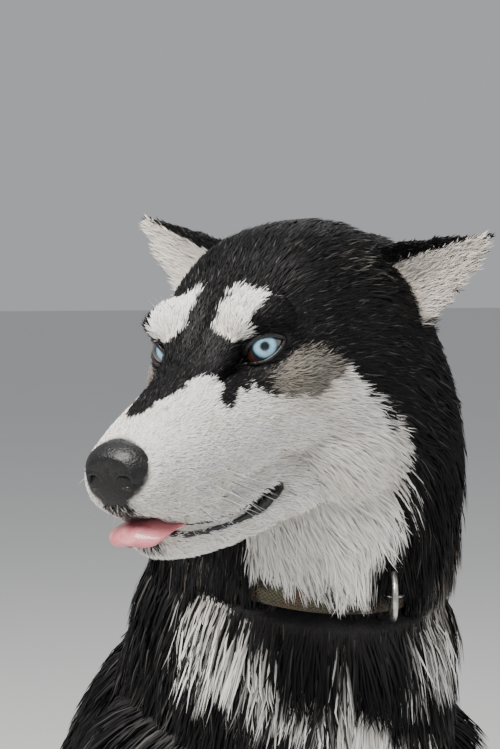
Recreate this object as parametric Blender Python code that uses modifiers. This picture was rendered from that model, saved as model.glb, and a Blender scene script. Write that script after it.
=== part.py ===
"""Sitting Siberian husky, life size, with its head turned to its right.

Metres, +Z up. The dog faces -Y, its left is +X, and it sits on the floor at z = 0. The solids
reach out to the tips of the coat. A flesh station holds the size of the body under the coat,
and the depth of the coat over it.
"""

import math

import bmesh
import bpy
import numpy as np
from mathutils import Matrix, Vector

# Fit between neighbours, fineness of the surface, and the height of the flats under the dog
GAP = 0.0003
VOXEL = 0.0042
SMOOTH_STEPS = 6
BLEND_STEPS = 24
BODY_TRIANGLES = 2550
FLOOR = 0.0035
SEGMENTS = 28
CAP_ANGLES = (30.0, 55.0, 75.0)

# Pose of the head: the point midway between the eyes, and its turn, nod and tilt
MID_EYE = Vector((-0.089, -0.155, 0.680))
HEAD_TURN = 60.0
HEAD_NOD = 14.0
HEAD_TILT = -3.0

# Eyes, nose and tongue, in the head's own frame: left, back, up from the point between the eyes
EYE_SPREAD = 0.0295
EYE_BACK = -0.003
EYE_RADIUS = 0.0120
EYE_GAZE = 30.0
EYE_SLANT = 12.0
EYE_OPENING = (0.0135, 0.0120, 0.0085)
NOSE_CENTRE = (0.0, -0.0970, -0.0370)
NOSE_SIZE = (0.0200, 0.0150, 0.0165)
NOSE_TAPER = 0.16
NOSE_FLAT = 0.82
TONGUE = ((0.045, -0.0660, 0.0150), (0.072, -0.0662, 0.0185), (0.090, -0.0664, 0.0195),
          (0.099, -0.0686, 0.0180), (0.104, -0.0722, 0.0130))
TONGUE_HALF_THICKNESS = 0.0026
TONGUE_CURL = 0.16

# Ears, splayed to the sides: each one's base, the way it points and the way it opens, in the
# head's own frame with its outer side positive
EARS = {
    "left": ((0.0525, 0.0950, 0.0060), (0.93, -0.13, 0.34), (-0.04, -0.96, -0.23)),
    "right": ((0.0520, 0.0900, 0.0140), (0.80, -0.06, 0.60), (-0.03, -0.97, -0.06)),
}
EAR_LENGTH = 0.074
EAR_HALF_WIDTH = 0.031
EAR_HALF_THICKNESS = 0.0055
EAR_TIP = 0.0050
EAR_ROOT = 0.020
EAR_CUP = 0.34
EAR_LEAN = 0.004
EAR_STEPS = 6

# Trunk and neck stations: x, y, z, half width, half depth, coat
TRUNK = (
    (0.0, -0.062, 0.462, 0.070, 0.086, 0.026),
    (0.0, -0.005, 0.405, 0.086, 0.112, 0.026),
    (0.0, 0.070, 0.325, 0.096, 0.112, 0.025),
    (0.0, 0.145, 0.240, 0.090, 0.094, 0.024),
    (0.0, 0.205, 0.160, 0.088, 0.090, 0.024),
    (0.0, 0.235, 0.100, 0.078, 0.078, 0.022),
)
NECK = (
    (0.000, -0.040, 0.440, 0.076, 0.104, 0.030),
    (0.000, -0.060, 0.510, 0.068, 0.088, 0.031),
    (0.000, -0.078, 0.575, 0.062, 0.073, 0.032),
    (-0.005, -0.098, 0.635, 0.060, 0.064, 0.032),
    (-0.016, -0.114, 0.675, 0.056, 0.056, 0.024),
)

# Head stations: distance ahead of the eyes, half width, top, bottom, narrowing to the top, coat
SKULL = (
    (-0.120, 0.040, 0.024, -0.050, 0.00, 0.014),
    (-0.094, 0.058, 0.039, -0.072, 0.02, 0.013),
    (-0.062, 0.063, 0.044, -0.080, 0.05, 0.011),
    (-0.032, 0.060, 0.038, -0.079, 0.08, 0.008),
    (-0.010, 0.053, 0.027, -0.070, 0.12, 0.005),
    (0.008, 0.043, 0.013, -0.065, 0.18, 0.004),
    (0.026, 0.037, 0.001, -0.063, 0.22, 0.003),
    (0.050, 0.0335, -0.007, -0.064, 0.24, 0.002),
    (0.074, 0.031, -0.014, -0.065, 0.18, 0.002),
    (0.088, 0.027, -0.019, -0.062, 0.10, 0.002),
)
HEAD_POWER = 0.88
JAW = (
    (-0.040, 0.038, -0.044, -0.088, 0.00, 0.008),
    (-0.010, 0.034, -0.055, -0.093, 0.00, 0.007),
    (0.020, 0.030, -0.056, -0.095, -0.05, 0.005),
    (0.045, 0.026, -0.058, -0.094, -0.08, 0.004),
    (0.064, 0.022, -0.060, -0.091, -0.08, 0.003),
    (0.077, 0.018, -0.060, -0.087, 0.00, 0.003),
)

# Rounded muscles and pads of the head: left, back, up, then their half sizes and coat
CHEEK_RUFF = (0.030, 0.064, -0.056, 0.030, 0.055, 0.042, 0.014)
BROW = (0.022, 0.003, 0.013, 0.017, 0.015, 0.010, 0.003)
CHEEKBONE = (0.035, 0.012, -0.018, 0.017, 0.024, 0.015, 0.005)
FLEW = (0.0145, -0.066, -0.050, 0.0160, 0.028, 0.0155, 0.002)
HEAD_PADS = (CHEEK_RUFF, BROW, CHEEKBONE, FLEW)

# Leg stations of the left side: x, y, z, half width, half depth, coat
FORELEG = (
    (0.062, -0.050, 0.430, 0.036, 0.064, 0.022),
    (0.074, -0.034, 0.365, 0.038, 0.060, 0.020),
    (0.080, -0.018, 0.300, 0.031, 0.042, 0.016),
    (0.079, -0.026, 0.240, 0.023, 0.030, 0.011),
    (0.076, -0.040, 0.170, 0.018, 0.022, 0.009),
    (0.074, -0.050, 0.110, 0.017, 0.019, 0.007),
    (0.073, -0.058, 0.070, 0.017, 0.017, 0.006),
    (0.074, -0.078, 0.036, 0.023, 0.020, 0.005),
)
THIGH = (
    (0.052, 0.205, 0.140, 0.050, 0.084, 0.022),
    (0.092, 0.150, 0.158, 0.046, 0.082, 0.020),
    (0.116, 0.092, 0.164, 0.038, 0.060, 0.018),
    (0.124, 0.058, 0.150, 0.028, 0.040, 0.014),
)
SHANK = (
    (0.124, 0.062, 0.136, 0.027, 0.036, 0.013),
    (0.129, 0.110, 0.098, 0.025, 0.036, 0.013),
    (0.130, 0.165, 0.064, 0.020, 0.028, 0.011),
    (0.128, 0.208, 0.036, 0.015, 0.020, 0.008),
)
METATARSUS = (
    (0.128, 0.205, 0.030, 0.016, 0.019, 0.007),
    (0.130, 0.140, 0.024, 0.016, 0.017, 0.006),
    (0.133, 0.080, 0.022, 0.018, 0.017, 0.005),
    (0.136, 0.040, 0.024, 0.024, 0.019, 0.005),
)

# Paws: where the pad's centre lies, its half sizes, and the toes' spread across it
FOREPAW = (0.075, -0.094, 0.021)
HINDPAW = (0.137, 0.022, 0.020)
PAW_SIZE = (0.029, 0.031, 0.021)
TOE_SIZE = (0.0110, 0.0200, 0.0150)
TOE_ACROSS = (-0.0225, -0.0080, 0.0080, 0.0225)
TOE_AHEAD = (0.020, 0.029, 0.029, 0.020)
CLAW_RADIUS = 0.0030
CLAW_LENGTH = 0.014
CLAW_WAY = (0.0, -0.88, -0.42)
CLAW_AHEAD = 0.0130
CLAW_BELOW = 0.0020

# Tail laid on the floor round the dog's left: x, y, z, half width, half depth, coat
TAIL = (
    (0.000, 0.255, 0.092, 0.028, 0.028, 0.022),
    (0.004, 0.325, 0.066, 0.020, 0.020, 0.032),
    (0.030, 0.392, 0.056, 0.016, 0.016, 0.038),
    (0.085, 0.432, 0.053, 0.014, 0.014, 0.040),
    (0.150, 0.430, 0.051, 0.012, 0.012, 0.040),
    (0.208, 0.388, 0.047, 0.010, 0.010, 0.037),
    (0.238, 0.328, 0.036, 0.007, 0.007, 0.028),
    (0.244, 0.284, 0.022, 0.004, 0.004, 0.014),
)

# Cuts that take the pieces off the body in turn. Each names the piece, a point on the cut, the
# way the piece lies from there, the half breadths of the cut across and along, and its reach.
TAIL_CUTS = (
    ("tail_tip", (0.190, 0.405, 0.050), (0.85, -0.50, 0.00), 0.120, 0.120, 0.20),
    ("tail_middle", (0.048, 0.420, 0.050), (1.00, 0.30, 0.00), 0.075, 0.080, 0.20),
    ("tail_base", (0.000, 0.340, 0.070), (0.00, 1.00, -0.15), 0.080, 0.090, 0.20),
)
LEG_CUTS = (
    ("forepaw", (0.075, -0.092, 0.074), (0.00, 0.00, -1.00), 0.046, 0.062, 0.12),
    ("forearm", (0.078, -0.035, 0.222), (0.00, 0.00, -1.00), 0.046, 0.060, 0.20),
    ("hindpaw", (0.135, 0.064, 0.025), (0.00, -1.00, 0.00), 0.050, 0.050, 0.12),
    ("shank", (0.136, 0.130, 0.098), (0.00, -0.42, -0.90), 0.048, 0.130, 0.12),
    ("thigh", (0.092, 0.130, 0.140), (1.00, 0.00, 0.00), 0.145, 0.130, 0.12),
    ("upper_foreleg", (0.070, -0.050, 0.345), (0.95, 0.00, -0.30), 0.090, 0.130, 0.12),
)
HEAD_CUT = ("head", (0.0, 0.080, -0.045), (0.0, -0.60, 0.80), 0.180, 0.200, 0.30)
JAW_CUT = ("lower_jaw", (0.0, -0.040, -0.0665), (0.0, 0.0, -1.0), 0.080, 0.074, 0.08)
NECK_CUT_REACH = 0.20
CHEST_CUT = ("chest", (0.0, 0.090, 0.305), (0.0, -0.67, 0.74), 0.200, 0.220, 0.40)
ABDOMEN_CUT = ("abdomen", (0.0, 0.165, 0.225), (0.0, -0.67, 0.74), 0.200, 0.220, 0.40)

# Collar, the coat's partings in front of it, its ring, and the staple that holds the ring. A
# parting is its angle round the collar, how far it stands proud, and its half sizes.
COLLAR_CENTRE = Vector((0.0, -0.066, 0.566))
COLLAR_HALF_WIDTH = 0.080
COLLAR_HALF_DEPTH = 0.094
COLLAR_HEIGHT = 0.025
COLLAR_THICKNESS = 0.0032
COLLAR_SLOPE = 14.0
COLLAR_SEGMENTS = 32
PARTINGS = ((-14.0, 0.012, (0.052, 0.032, 0.017)), (10.0, 0.018, (0.023, 0.036, 0.028)))
RING_ANGLE = 8.0
RING_TURN = 24.0
RING_RADIUS = 0.0125
RING_WIRE = 0.0016
STAPLE_RADIUS = 0.0058
STAPLE_WIRE = 0.0010

COLOURS = {
    "black_coat": (0.018, 0.017, 0.020, 0.75),
    "white_coat": (0.72, 0.69, 0.64, 0.80),
    "nose_leather": (0.012, 0.012, 0.014, 0.40),
    "tongue_flesh": (0.72, 0.27, 0.30, 0.35),
    "eye_blue": (0.42, 0.68, 0.82, 0.08),
    "claw_horn": (0.05, 0.045, 0.04, 0.45),
    "collar_web": (0.13, 0.12, 0.07, 0.85),
    "ring_metal": (0.62, 0.56, 0.42, 0.30),
}


# What each piece is made of, by the start of its name
MADE_OF = (
    ("forepaw_left_claw", "claw_horn"), ("forepaw_right_claw", "claw_horn"),
    ("hindpaw_left_claw", "claw_horn"), ("hindpaw_right_claw", "claw_horn"),
    ("collar_ring", "ring_metal"), ("ring_staple", "ring_metal"), ("collar", "collar_web"),
    ("eye", "eye_blue"), ("nose_pad", "nose_leather"), ("tongue", "tongue_flesh"),
    ("lower_jaw", "white_coat"), ("forearm", "white_coat"), ("forepaw", "white_coat"),
    ("shank", "white_coat"), ("hindpaw", "white_coat"), ("", "black_coat"),
)


def clear_scene():
    """Remove what the file opened with."""
    for obj in list(bpy.data.objects):
        bpy.data.objects.remove(obj, do_unlink=True)


def material(name):
    """One Principled material from the table of colours."""
    red, green, blue, roughness = COLOURS[name]
    made = bpy.data.materials.new(name)
    made.use_nodes = True
    shader = made.node_tree.nodes["Principled BSDF"]
    shader.inputs["Base Color"].default_value = (red, green, blue, 1.0)
    shader.inputs["Roughness"].default_value = roughness
    shader.inputs["Metallic"].default_value = 1.0 if name == "ring_metal" else 0.0
    return made


def head_frame():
    """From the head's own frame to the dog's."""
    turn = Matrix.Rotation(-math.radians(HEAD_TURN), 4, "Z")
    nod = Matrix.Rotation(math.radians(HEAD_NOD), 4, "X")
    tilt = Matrix.Rotation(math.radians(HEAD_TILT), 4, "Y")
    return Matrix.Translation(MID_EYE) @ turn @ nod @ tilt


def spline(rows, count):
    """Points read at even steps from a smooth curve through the stations."""
    rows = np.array(rows, dtype=float)
    padded = np.vstack([2 * rows[0] - rows[1], rows, 2 * rows[-1] - rows[-2]])
    out = []
    for step in np.linspace(0.0, len(rows) - 1.0001, count):
        k = int(step)
        t = step - k
        a, b, c, d = padded[k:k + 4]
        out.append(0.5 * (2 * b + (c - a) * t + (2 * a - 5 * b + 4 * c - d) * t ** 2
                          + (3 * b - a - 3 * c + d) * t ** 3))
    return np.array(out)


def squared(value, power):
    """Push a value of a circle's sine or cosine outwards, for a squarer section."""
    return math.copysign(abs(value) ** power, value)


def ring(bm, centre, side, up, half_width, half_depth, narrow=0.0, capped=False, power=1.0,
         bow=0.0, segments=SEGMENTS):
    """One section of a loft. Narrow draws its top in, and bow bends its edges up."""
    made = bmesh.ops.create_circle(bm, cap_ends=capped, segments=segments, radius=1.0)
    for vert in made["verts"]:
        across, rise = squared(vert.co.x, power), squared(vert.co.y, power)
        width = half_width * (1.0 - narrow * rise)
        lift = half_depth * rise + bow * half_width * across ** 2
        vert.co = centre + side * (width * across) + up * lift
    return {edge for vert in made["verts"] for edge in vert.link_edges}


def loft(bm, rows, side, count=14, frame=None, power=1.0):
    """A limb or trunk through its stations, with rounded ends.

    A row is x, y, z, half width, half depth, coat, and how far its top is drawn in.
    """
    rows = [tuple(row) + (0.0,) * (7 - len(row)) for row in rows]
    path = spline(rows, count)
    centres = [Vector(row[:3]) for row in path]
    ends = {0: centres[0] - centres[1], count - 1: centres[-1] - centres[-2]}
    sections = []
    for index, row in enumerate(path):
        ahead = centres[min(index + 1, count - 1)] - centres[max(index - 1, 0)]
        up = side.cross(ahead).normalized()
        across = ahead.cross(up).normalized()
        width, depth, narrow = row[3] + row[5], row[4] + row[5], row[6]
        section = [(centres[index], across, up, width, depth, narrow, False)]
        if index in ends:
            outward = ends[index].normalized()
            reach = min(width, depth)
            for angle in CAP_ANGLES:
                lift = math.sin(math.radians(angle))
                fall = math.cos(math.radians(angle))
                centre = centres[index] + outward * (reach * lift)
                last = angle == CAP_ANGLES[-1]
                section.append((centre, across, up, width * fall, depth * fall, narrow, last))
            if index == 0:
                section.reverse()
        sections += section
    if frame is not None:
        turn = frame.to_3x3()
        sections = [(frame @ s[0], turn @ s[1], turn @ s[2]) + s[3:] for s in sections]
    previous = None
    for section in sections:
        edges = ring(bm, *section, power)
        if previous is not None:
            bmesh.ops.bridge_loops(bm, edges=list(previous | edges))
        previous = edges


def ball(bm, centre, half_sizes, frame=Matrix(), detail=3):
    """An ellipsoid."""
    place = frame @ Matrix.Translation(centre) @ Matrix.Diagonal((*half_sizes, 1.0))
    return bmesh.ops.create_icosphere(bm, subdivisions=detail, radius=1.0, matrix=place)["verts"]


def head_rows(stations):
    """Head stations as loft rows: the section's centre, its half sizes and its coat."""
    rows = []
    for ahead, half_width, top, bottom, narrow, coat in stations:
        rows.append((0.0, -ahead, (top + bottom) / 2, half_width, (top - bottom) / 2, coat, narrow))
    return rows


def add_head(bm, head):
    """The skull with its muzzle, the lower jaw, and the pads that round them."""
    right = Vector((-1.0, 0.0, 0.0))
    loft(bm, head_rows(SKULL), right, 24, head, HEAD_POWER)
    loft(bm, head_rows(JAW), right, 14, head, HEAD_POWER)
    for side in (-1, 1):
        for x, y, z, wide, long, high, coat in HEAD_PADS:
            ball(bm, (side * x, y, z), (wide + coat, long + coat, high + coat), head)


def mirrored(rows, side):
    """Leg stations of the left side, or of the right."""
    return [(side * row[0],) + tuple(row[1:]) for row in rows]


def add_paw(bm, centre, side):
    """A paw: its pad and four toes."""
    x, y, z = centre
    ball(bm, (side * x, y, z), PAW_SIZE)
    for across, ahead in zip(TOE_ACROSS, TOE_AHEAD):
        ball(bm, (side * (x + across), y - ahead, z - 0.004), TOE_SIZE)


def add_legs(bm):
    """Both forelegs and both folded hind legs."""
    left = Vector((1.0, 0.0, 0.0))
    for side in (-1, 1):
        loft(bm, mirrored(FORELEG, side), left, 18)
        loft(bm, mirrored(THIGH, side), left, 10)
        loft(bm, mirrored(SHANK, side), left, 10)
        loft(bm, mirrored(METATARSUS, side), left, 10)
        add_paw(bm, FOREPAW, side)
        add_paw(bm, HINDPAW, side)


def new_object(name, bm, collection):
    """An object from a bmesh, with its normals facing out."""
    bmesh.ops.recalc_face_normals(bm, faces=bm.faces)
    mesh = bpy.data.meshes.new(name)
    bm.to_mesh(mesh)
    bm.free()
    obj = bpy.data.objects.new(name, mesh)
    collection.objects.link(obj)
    return obj


def bake(obj):
    """Turn the object's modifiers into its mesh."""
    bpy.context.view_layer.update()
    evaluated = obj.evaluated_get(bpy.context.evaluated_depsgraph_get())
    mesh = bpy.data.meshes.new_from_object(evaluated)
    old = obj.data
    obj.modifiers.clear()
    obj.data = mesh
    bpy.data.meshes.remove(old)


def keep_largest(obj):
    """Drop the crumbs that a cut leaves beside the piece."""
    bm = bmesh.new()
    bm.from_mesh(obj.data)
    left = set(bm.verts)
    islands = []
    while left:
        island = set()
        front = [left.pop()]
        while front:
            vert = front.pop()
            island.add(vert)
            for edge in vert.link_edges:
                other = edge.other_vert(vert)
                if other in left:
                    left.discard(other)
                    front.append(other)
        islands.append(island)
    islands.sort(key=len)
    crumbs = [vert for island in islands[:-1] for vert in island]
    bmesh.ops.delete(bm, geom=crumbs, context="VERTS")
    bm.to_mesh(obj.data)
    bm.free()


def boolean(target, cutter, operation):
    """Cut the target with the cutter, or keep what they share."""
    modifier = target.modifiers.new("cut", "BOOLEAN")
    modifier.operation = operation
    modifier.solver = "EXACT"
    modifier.object = cutter
    bake(target)


def shell_copy(obj, grow, collection):
    """A copy of the object, swollen by the gap."""
    copy = bpy.data.objects.new(obj.name + "_swollen", obj.data.copy())
    collection.objects.link(copy)
    swell = copy.modifiers.new("swell", "DISPLACE")
    swell.strength = grow
    swell.mid_level = 0.0
    bake(copy)
    return copy


def weigh(obj, name, rule):
    """A vertex group with a weight for each point of the surface."""
    group = obj.vertex_groups.new(name=name)
    for vert in obj.data.vertices:
        group.add([vert.index], rule(vert.co), "REPLACE")
    return group.name


def nearness(point, centre, inner, outer):
    """1 within the inner distance of a centre, falling to 0 at the outer one."""
    return min(max((outer - (point - Vector(centre)).length) / (outer - inner), 0.0), 1.0)


def softness(point):
    """How much the coat blends the shapes: fully on the trunk and neck, not on the head or feet."""
    low = min(max((0.18 - point.z) / 0.10, 0.0), 1.0)
    return 1.0 - max(low, nearness(point, MID_EYE, 0.075, 0.125))


def coarseness(point):
    """Where the surface can do with fewer triangles: everywhere but the head and paws."""
    mirrored_point = Vector((abs(point.x), point.y, point.z))
    paws = max(nearness(mirrored_point, centre, 0.045, 0.070) for centre in (FOREPAW, HINDPAW))
    return 1.0 - 0.40 * max(nearness(point, MID_EYE, 0.10, 0.18), 0.80 * paws)


def fused_body(collection):
    """The whole outline as one smooth surface, cut flat where it rests."""
    bm = bmesh.new()
    left = Vector((1.0, 0.0, 0.0))
    loft(bm, TRUNK, left, 18)
    loft(bm, NECK, left, 14)
    loft(bm, TAIL, Vector((0.0, 0.0, 1.0)), 24)
    add_legs(bm)
    add_head(bm, head_frame())
    body = new_object("body", bm, collection)
    remesh = body.modifiers.new("fuse", "REMESH")
    remesh.mode = "VOXEL"
    remesh.voxel_size = VOXEL
    smooth = body.modifiers.new("round", "SMOOTH")
    smooth.factor = 0.5
    smooth.iterations = SMOOTH_STEPS
    bake(body)
    blend = body.modifiers.new("blend", "SMOOTH")
    blend.factor = 0.5
    blend.iterations = BLEND_STEPS
    blend.vertex_group = weigh(body, "soft", softness)
    bake(body)
    body.vertex_groups.clear()
    body.data.calc_loop_triangles()
    thin = body.modifiers.new("thin", "DECIMATE")
    thin.ratio = BODY_TRIANGLES / len(body.data.loop_triangles)
    thin.vertex_group = weigh(body, "coarse", coarseness)
    bake(body)
    body.vertex_groups.clear()
    bm = bmesh.new()
    bm.from_mesh(body.data)
    geometry = bm.verts[:] + bm.edges[:] + bm.faces[:]
    cut = bmesh.ops.bisect_plane(bm, geom=geometry, dist=1e-6,
                                 plane_co=(0, 0, FLOOR), plane_no=(0, 0, -1), clear_outer=True)
    rim = [item for item in cut["geom_cut"] if isinstance(item, bmesh.types.BMEdge)]
    bmesh.ops.holes_fill(bm, edges=rim, sides=0)
    bm.to_mesh(body.data)
    bm.free()
    return body


def block(name, point, direction, across, along, reach, grow, frame, collection):
    """A block with one face on the cut, reaching the way the piece lies."""
    ahead = (frame.to_3x3() @ Vector(direction)).normalized()
    start = frame @ Vector(point)
    turn = ahead.to_track_quat("Z", "Y").to_matrix().to_4x4()
    half = reach / 2
    sizes = (2 * (across + grow), 2 * (along + grow), reach + 2 * grow)
    place = Matrix.Translation(start + ahead * half) @ turn @ Matrix.Diagonal((*sizes, 1.0))
    bm = bmesh.new()
    bmesh.ops.create_cube(bm, size=1.0, matrix=place)
    return new_object(name, bm, collection)


def discard(obj):
    """Remove an object and its mesh."""
    mesh = obj.data
    bpy.data.objects.remove(obj, do_unlink=True)
    bpy.data.meshes.remove(mesh)


def take_off(body, cut, cutters, frame=Matrix()):
    """Cut one named piece off the body, with the gap between the two."""
    name, *place = cut
    piece = bpy.data.objects.new(name, body.data.copy())
    body.users_collection[0].objects.link(piece)
    near = block("near", *place, 0.0, frame, cutters)
    far = block("far", *place, GAP, frame, cutters)
    boolean(piece, near, "INTERSECT")
    boolean(body, far, "DIFFERENCE")
    keep_largest(piece)
    keep_largest(body)
    discard(near)
    discard(far)
    return piece


def collar_plane():
    """Where the collar's middle lies: a circle in its own plane, sloping down to the front."""
    return Matrix.Translation(COLLAR_CENTRE) @ Matrix.Rotation(math.radians(COLLAR_SLOPE), 4, "X")


def on_collar(angle, proud=0.0):
    """A point on the collar's outer face, at an angle from its front towards the dog's left."""
    turn = math.radians(angle)
    wide = COLLAR_HALF_WIDTH + COLLAR_THICKNESS / 2 + proud
    deep = COLLAR_HALF_DEPTH + COLLAR_THICKNESS / 2 + proud
    return collar_plane() @ Vector((wide * math.sin(turn), -deep * math.cos(turn), 0.0))


def collar(name, grow, collection):
    """The collar's band, or the room for it: an oblong section swept round an ellipse."""
    bm = bmesh.new()
    half = COLLAR_THICKNESS / 2 + grow
    rise = COLLAR_HEIGHT / 2 + grow
    corners = ((half, -rise), (half, rise), (-half, rise), (-half, -rise))
    section = [bm.verts.new((1.0 + out, 0.0, up)) for out, up in corners]
    edges = [bm.edges.new((section[index - 1], section[index])) for index in range(4)]
    bmesh.ops.spin(bm, geom=section + edges, cent=(0, 0, 0), axis=(0, 0, 1), dvec=(0, 0, 0),
                   angle=2 * math.pi, steps=COLLAR_SEGMENTS, use_merge=True)
    plane = collar_plane()
    for vert in bm.verts:
        out = math.hypot(vert.co.x, vert.co.y) - 1.0
        turn = math.atan2(vert.co.y, vert.co.x)
        wide, deep = COLLAR_HALF_WIDTH + out, COLLAR_HALF_DEPTH + out
        vert.co = plane @ Vector((wide * math.cos(turn), deep * math.sin(turn), vert.co.z))
    return new_object(name, bm, collection)


def tube(name, points, radius, closed, sides, collection):
    """A round wire along points in one plane."""
    bm = bmesh.new()
    count = len(points)
    normal = (points[1] - points[0]).cross(points[2] - points[0]).normalized()
    loops = []
    for index, point in enumerate(points):
        before = points[index - 1] if closed or index else points[0]
        after = points[(index + 1) % count] if closed or index < count - 1 else points[-1]
        ahead = (after - before).normalized()
        capped = not closed and index in (0, count - 1)
        loops.append(ring(bm, point, normal, ahead.cross(normal), radius, radius,
                          capped=capped, segments=sides))
    for index in range(0 if closed else 1, count):
        bmesh.ops.bridge_loops(bm, edges=list(loops[index] | loops[index - 1]))
    return new_object(name, bm, collection)


def ring_and_staple(parts):
    """The metal ring, seen edge on from the camera, and the staple that holds it to the collar."""
    turn = math.radians(RING_TURN)
    out = Vector((-math.sin(turn), -math.cos(turn), 0.0))
    up = Vector((0.0, 0.0, 1.0))
    face = on_collar(RING_ANGLE)
    centre = face + out * (RING_RADIUS + RING_WIRE + 2 * GAP)
    circle = []
    for step in range(20):
        angle = 2 * math.pi * step / 20
        circle.append(centre + (out * math.cos(angle) + up * math.sin(angle)) * RING_RADIUS)
    tube("collar_ring", circle, RING_WIRE, True, 6, parts)
    across = (on_collar(RING_ANGLE + 1) - on_collar(RING_ANGLE - 1)).normalized()
    proud = (on_collar(RING_ANGLE, 0.01) - face).normalized()
    arc = []
    for step in range(9):
        angle = math.pi * step / 8
        reach = proud * math.sin(angle) + across * math.cos(angle)
        arc.append(face + proud * (STAPLE_WIRE + 3 * GAP) + reach * STAPLE_RADIUS)
    tube("ring_staple", arc, STAPLE_WIRE, False, 6, parts)


def fit_collar(pieces, parts, cutters):
    """The collar, with room for it in the neck and chest, and the coat parted in front."""
    collar("collar", 0.0, parts)
    rooms = [collar("collar_room", GAP, cutters)]
    for angle, proud, half_sizes in PARTINGS:
        bm = bmesh.new()
        ball(bm, on_collar(angle, proud), half_sizes, Matrix(), 2)
        rooms.append(new_object("parting", bm, cutters))
    for room in rooms:
        for name in ("neck", "chest"):
            boolean(pieces[name], room, "DIFFERENCE")
            keep_largest(pieces[name])
        discard(room)
    ring_and_staple(parts)


def ear(name, side, head, parts):
    """A cupped, pointed ear, splayed to the side, its root sunk in the head."""
    bm = bmesh.new()
    mirror = Vector((side, 1.0, 1.0))
    base, points, opens = (Vector(row) * mirror for row in EARS[name])
    across = points.cross(opens).normalized()
    points.normalize()
    opens = across.cross(points)
    turn = head.to_3x3()
    previous = None
    for step in range(EAR_STEPS + 1):
        along = step / EAR_STEPS
        reach = along * (EAR_LENGTH + EAR_ROOT) - EAR_ROOT
        rise = max(reach / EAR_LENGTH, 0.0)
        width = EAR_HALF_WIDTH * (1.0 - rise ** 1.35) + EAR_TIP * rise
        thick = EAR_HALF_THICKNESS * (1.0 - 0.45 * rise)
        centre = head @ (base + points * reach - opens * (EAR_LEAN * rise ** 2))
        edges = ring(bm, centre, turn @ across, turn @ opens, width, thick,
                     capped=step in (0, EAR_STEPS), bow=EAR_CUP, segments=12)
        if previous is not None:
            bmesh.ops.bridge_loops(bm, edges=list(previous | edges))
        previous = edges
    return new_object("ear_" + name, bm, parts)


def eye(name, side, grow, head, collection):
    """An eyeball, or the socket for it."""
    bm = bmesh.new()
    radius = EYE_RADIUS + grow
    place = head @ Matrix.Translation((side * EYE_SPREAD, EYE_BACK, 0.0))
    bmesh.ops.create_uvsphere(bm, u_segments=14, v_segments=8, radius=radius, matrix=place)
    return new_object(name, bm, collection)


def eye_opening(side, head, collection):
    """The almond gap between the lids, from the eyeball outwards."""
    bm = bmesh.new()
    gaze = math.radians(EYE_GAZE)
    reach = EYE_RADIUS + EYE_OPENING[1] * 0.62
    centre = (side * (EYE_SPREAD + reach * math.sin(gaze)), EYE_BACK - reach * math.cos(gaze), 0.0)
    turn = Matrix.Rotation(side * gaze, 4, "Z")
    slant = Matrix.Rotation(-side * math.radians(EYE_SLANT), 4, "Y")
    place = head @ Matrix.Translation(centre) @ turn @ slant @ Matrix.Diagonal((*EYE_OPENING, 1.0))
    bmesh.ops.create_icosphere(bm, subdivisions=2, radius=1.0, matrix=place)
    return new_object("opening", bm, collection)


def fit_eyes(pieces, head, parts, cutters):
    """Both eyes in their sockets."""
    for side, word in ((1, "left"), (-1, "right")):
        eye("eye_" + word, side, 0.0, head, parts)
        for cutter in (eye("socket", side, GAP, head, cutters), eye_opening(side, head, cutters)):
            boolean(pieces["head"], cutter, "DIFFERENCE")
            discard(cutter)
    keep_largest(pieces["head"])


def nose(name, grow, head, collection):
    """The nose leather: wider above, drawn in below, flat in front."""
    bm = bmesh.new()
    bmesh.ops.create_uvsphere(bm, u_segments=12, v_segments=9, radius=1.0)
    wide, long, high = (size + grow for size in NOSE_SIZE)
    for vert in bm.verts:
        x, y, z = vert.co
        drawn = 1.0 + NOSE_TAPER * z
        front = max(y, -NOSE_FLAT)
        vert.co = Vector((x * wide * drawn, front * long, z * high)) + Vector(NOSE_CENTRE)
        vert.co = head @ vert.co
    return new_object(name, bm, collection)


def tongue(name, grow, head, collection):
    """The tongue's end, out between the lips and drooping over the lower one."""
    bm = bmesh.new()
    turn = head.to_3x3()
    side = turn @ Vector((1.0, 0.0, 0.0))
    rows = [(0.0, -ahead, up, half, TONGUE_HALF_THICKNESS, grow) for ahead, up, half in TONGUE]
    path = spline(rows, 9)
    previous = None
    for index, row in enumerate(path):
        centre = head @ Vector(row[:3])
        before, after = path[max(index - 1, 0)][:3], path[min(index + 1, 8)][:3]
        ahead = turn @ (Vector(after) - Vector(before))
        up = ahead.cross(side).normalized()
        edges = ring(bm, centre, side, up, row[3] + grow, row[4] + grow,
                     capped=index in (0, 8), bow=-TONGUE_CURL, segments=12)
        if previous is not None:
            bmesh.ops.bridge_loops(bm, edges=list(previous | edges))
        previous = edges
    return new_object(name, bm, collection)


def fit_face(pieces, head, parts, cutters):
    """The nose and tongue, with room for them in the head and jaw, and the ears on the head."""
    nose("nose_pad", 0.0, head, parts)
    room = nose("nose_room", GAP, head, cutters)
    boolean(pieces["head"], room, "DIFFERENCE")
    discard(room)
    tongue("tongue", 0.0, head, parts)
    room = tongue("tongue_room", GAP, head, cutters)
    for name in ("head", "lower_jaw"):
        boolean(pieces[name], room, "DIFFERENCE")
        keep_largest(pieces[name])
    discard(room)
    for side, word in ((1, "left"), (-1, "right")):
        made = ear(word, side, head, parts)
        for name in ("head", "neck"):
            cutter = shell_copy(pieces[name], GAP, cutters)
            boolean(made, cutter, "DIFFERENCE")
            discard(cutter)
        keep_largest(made)


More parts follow.
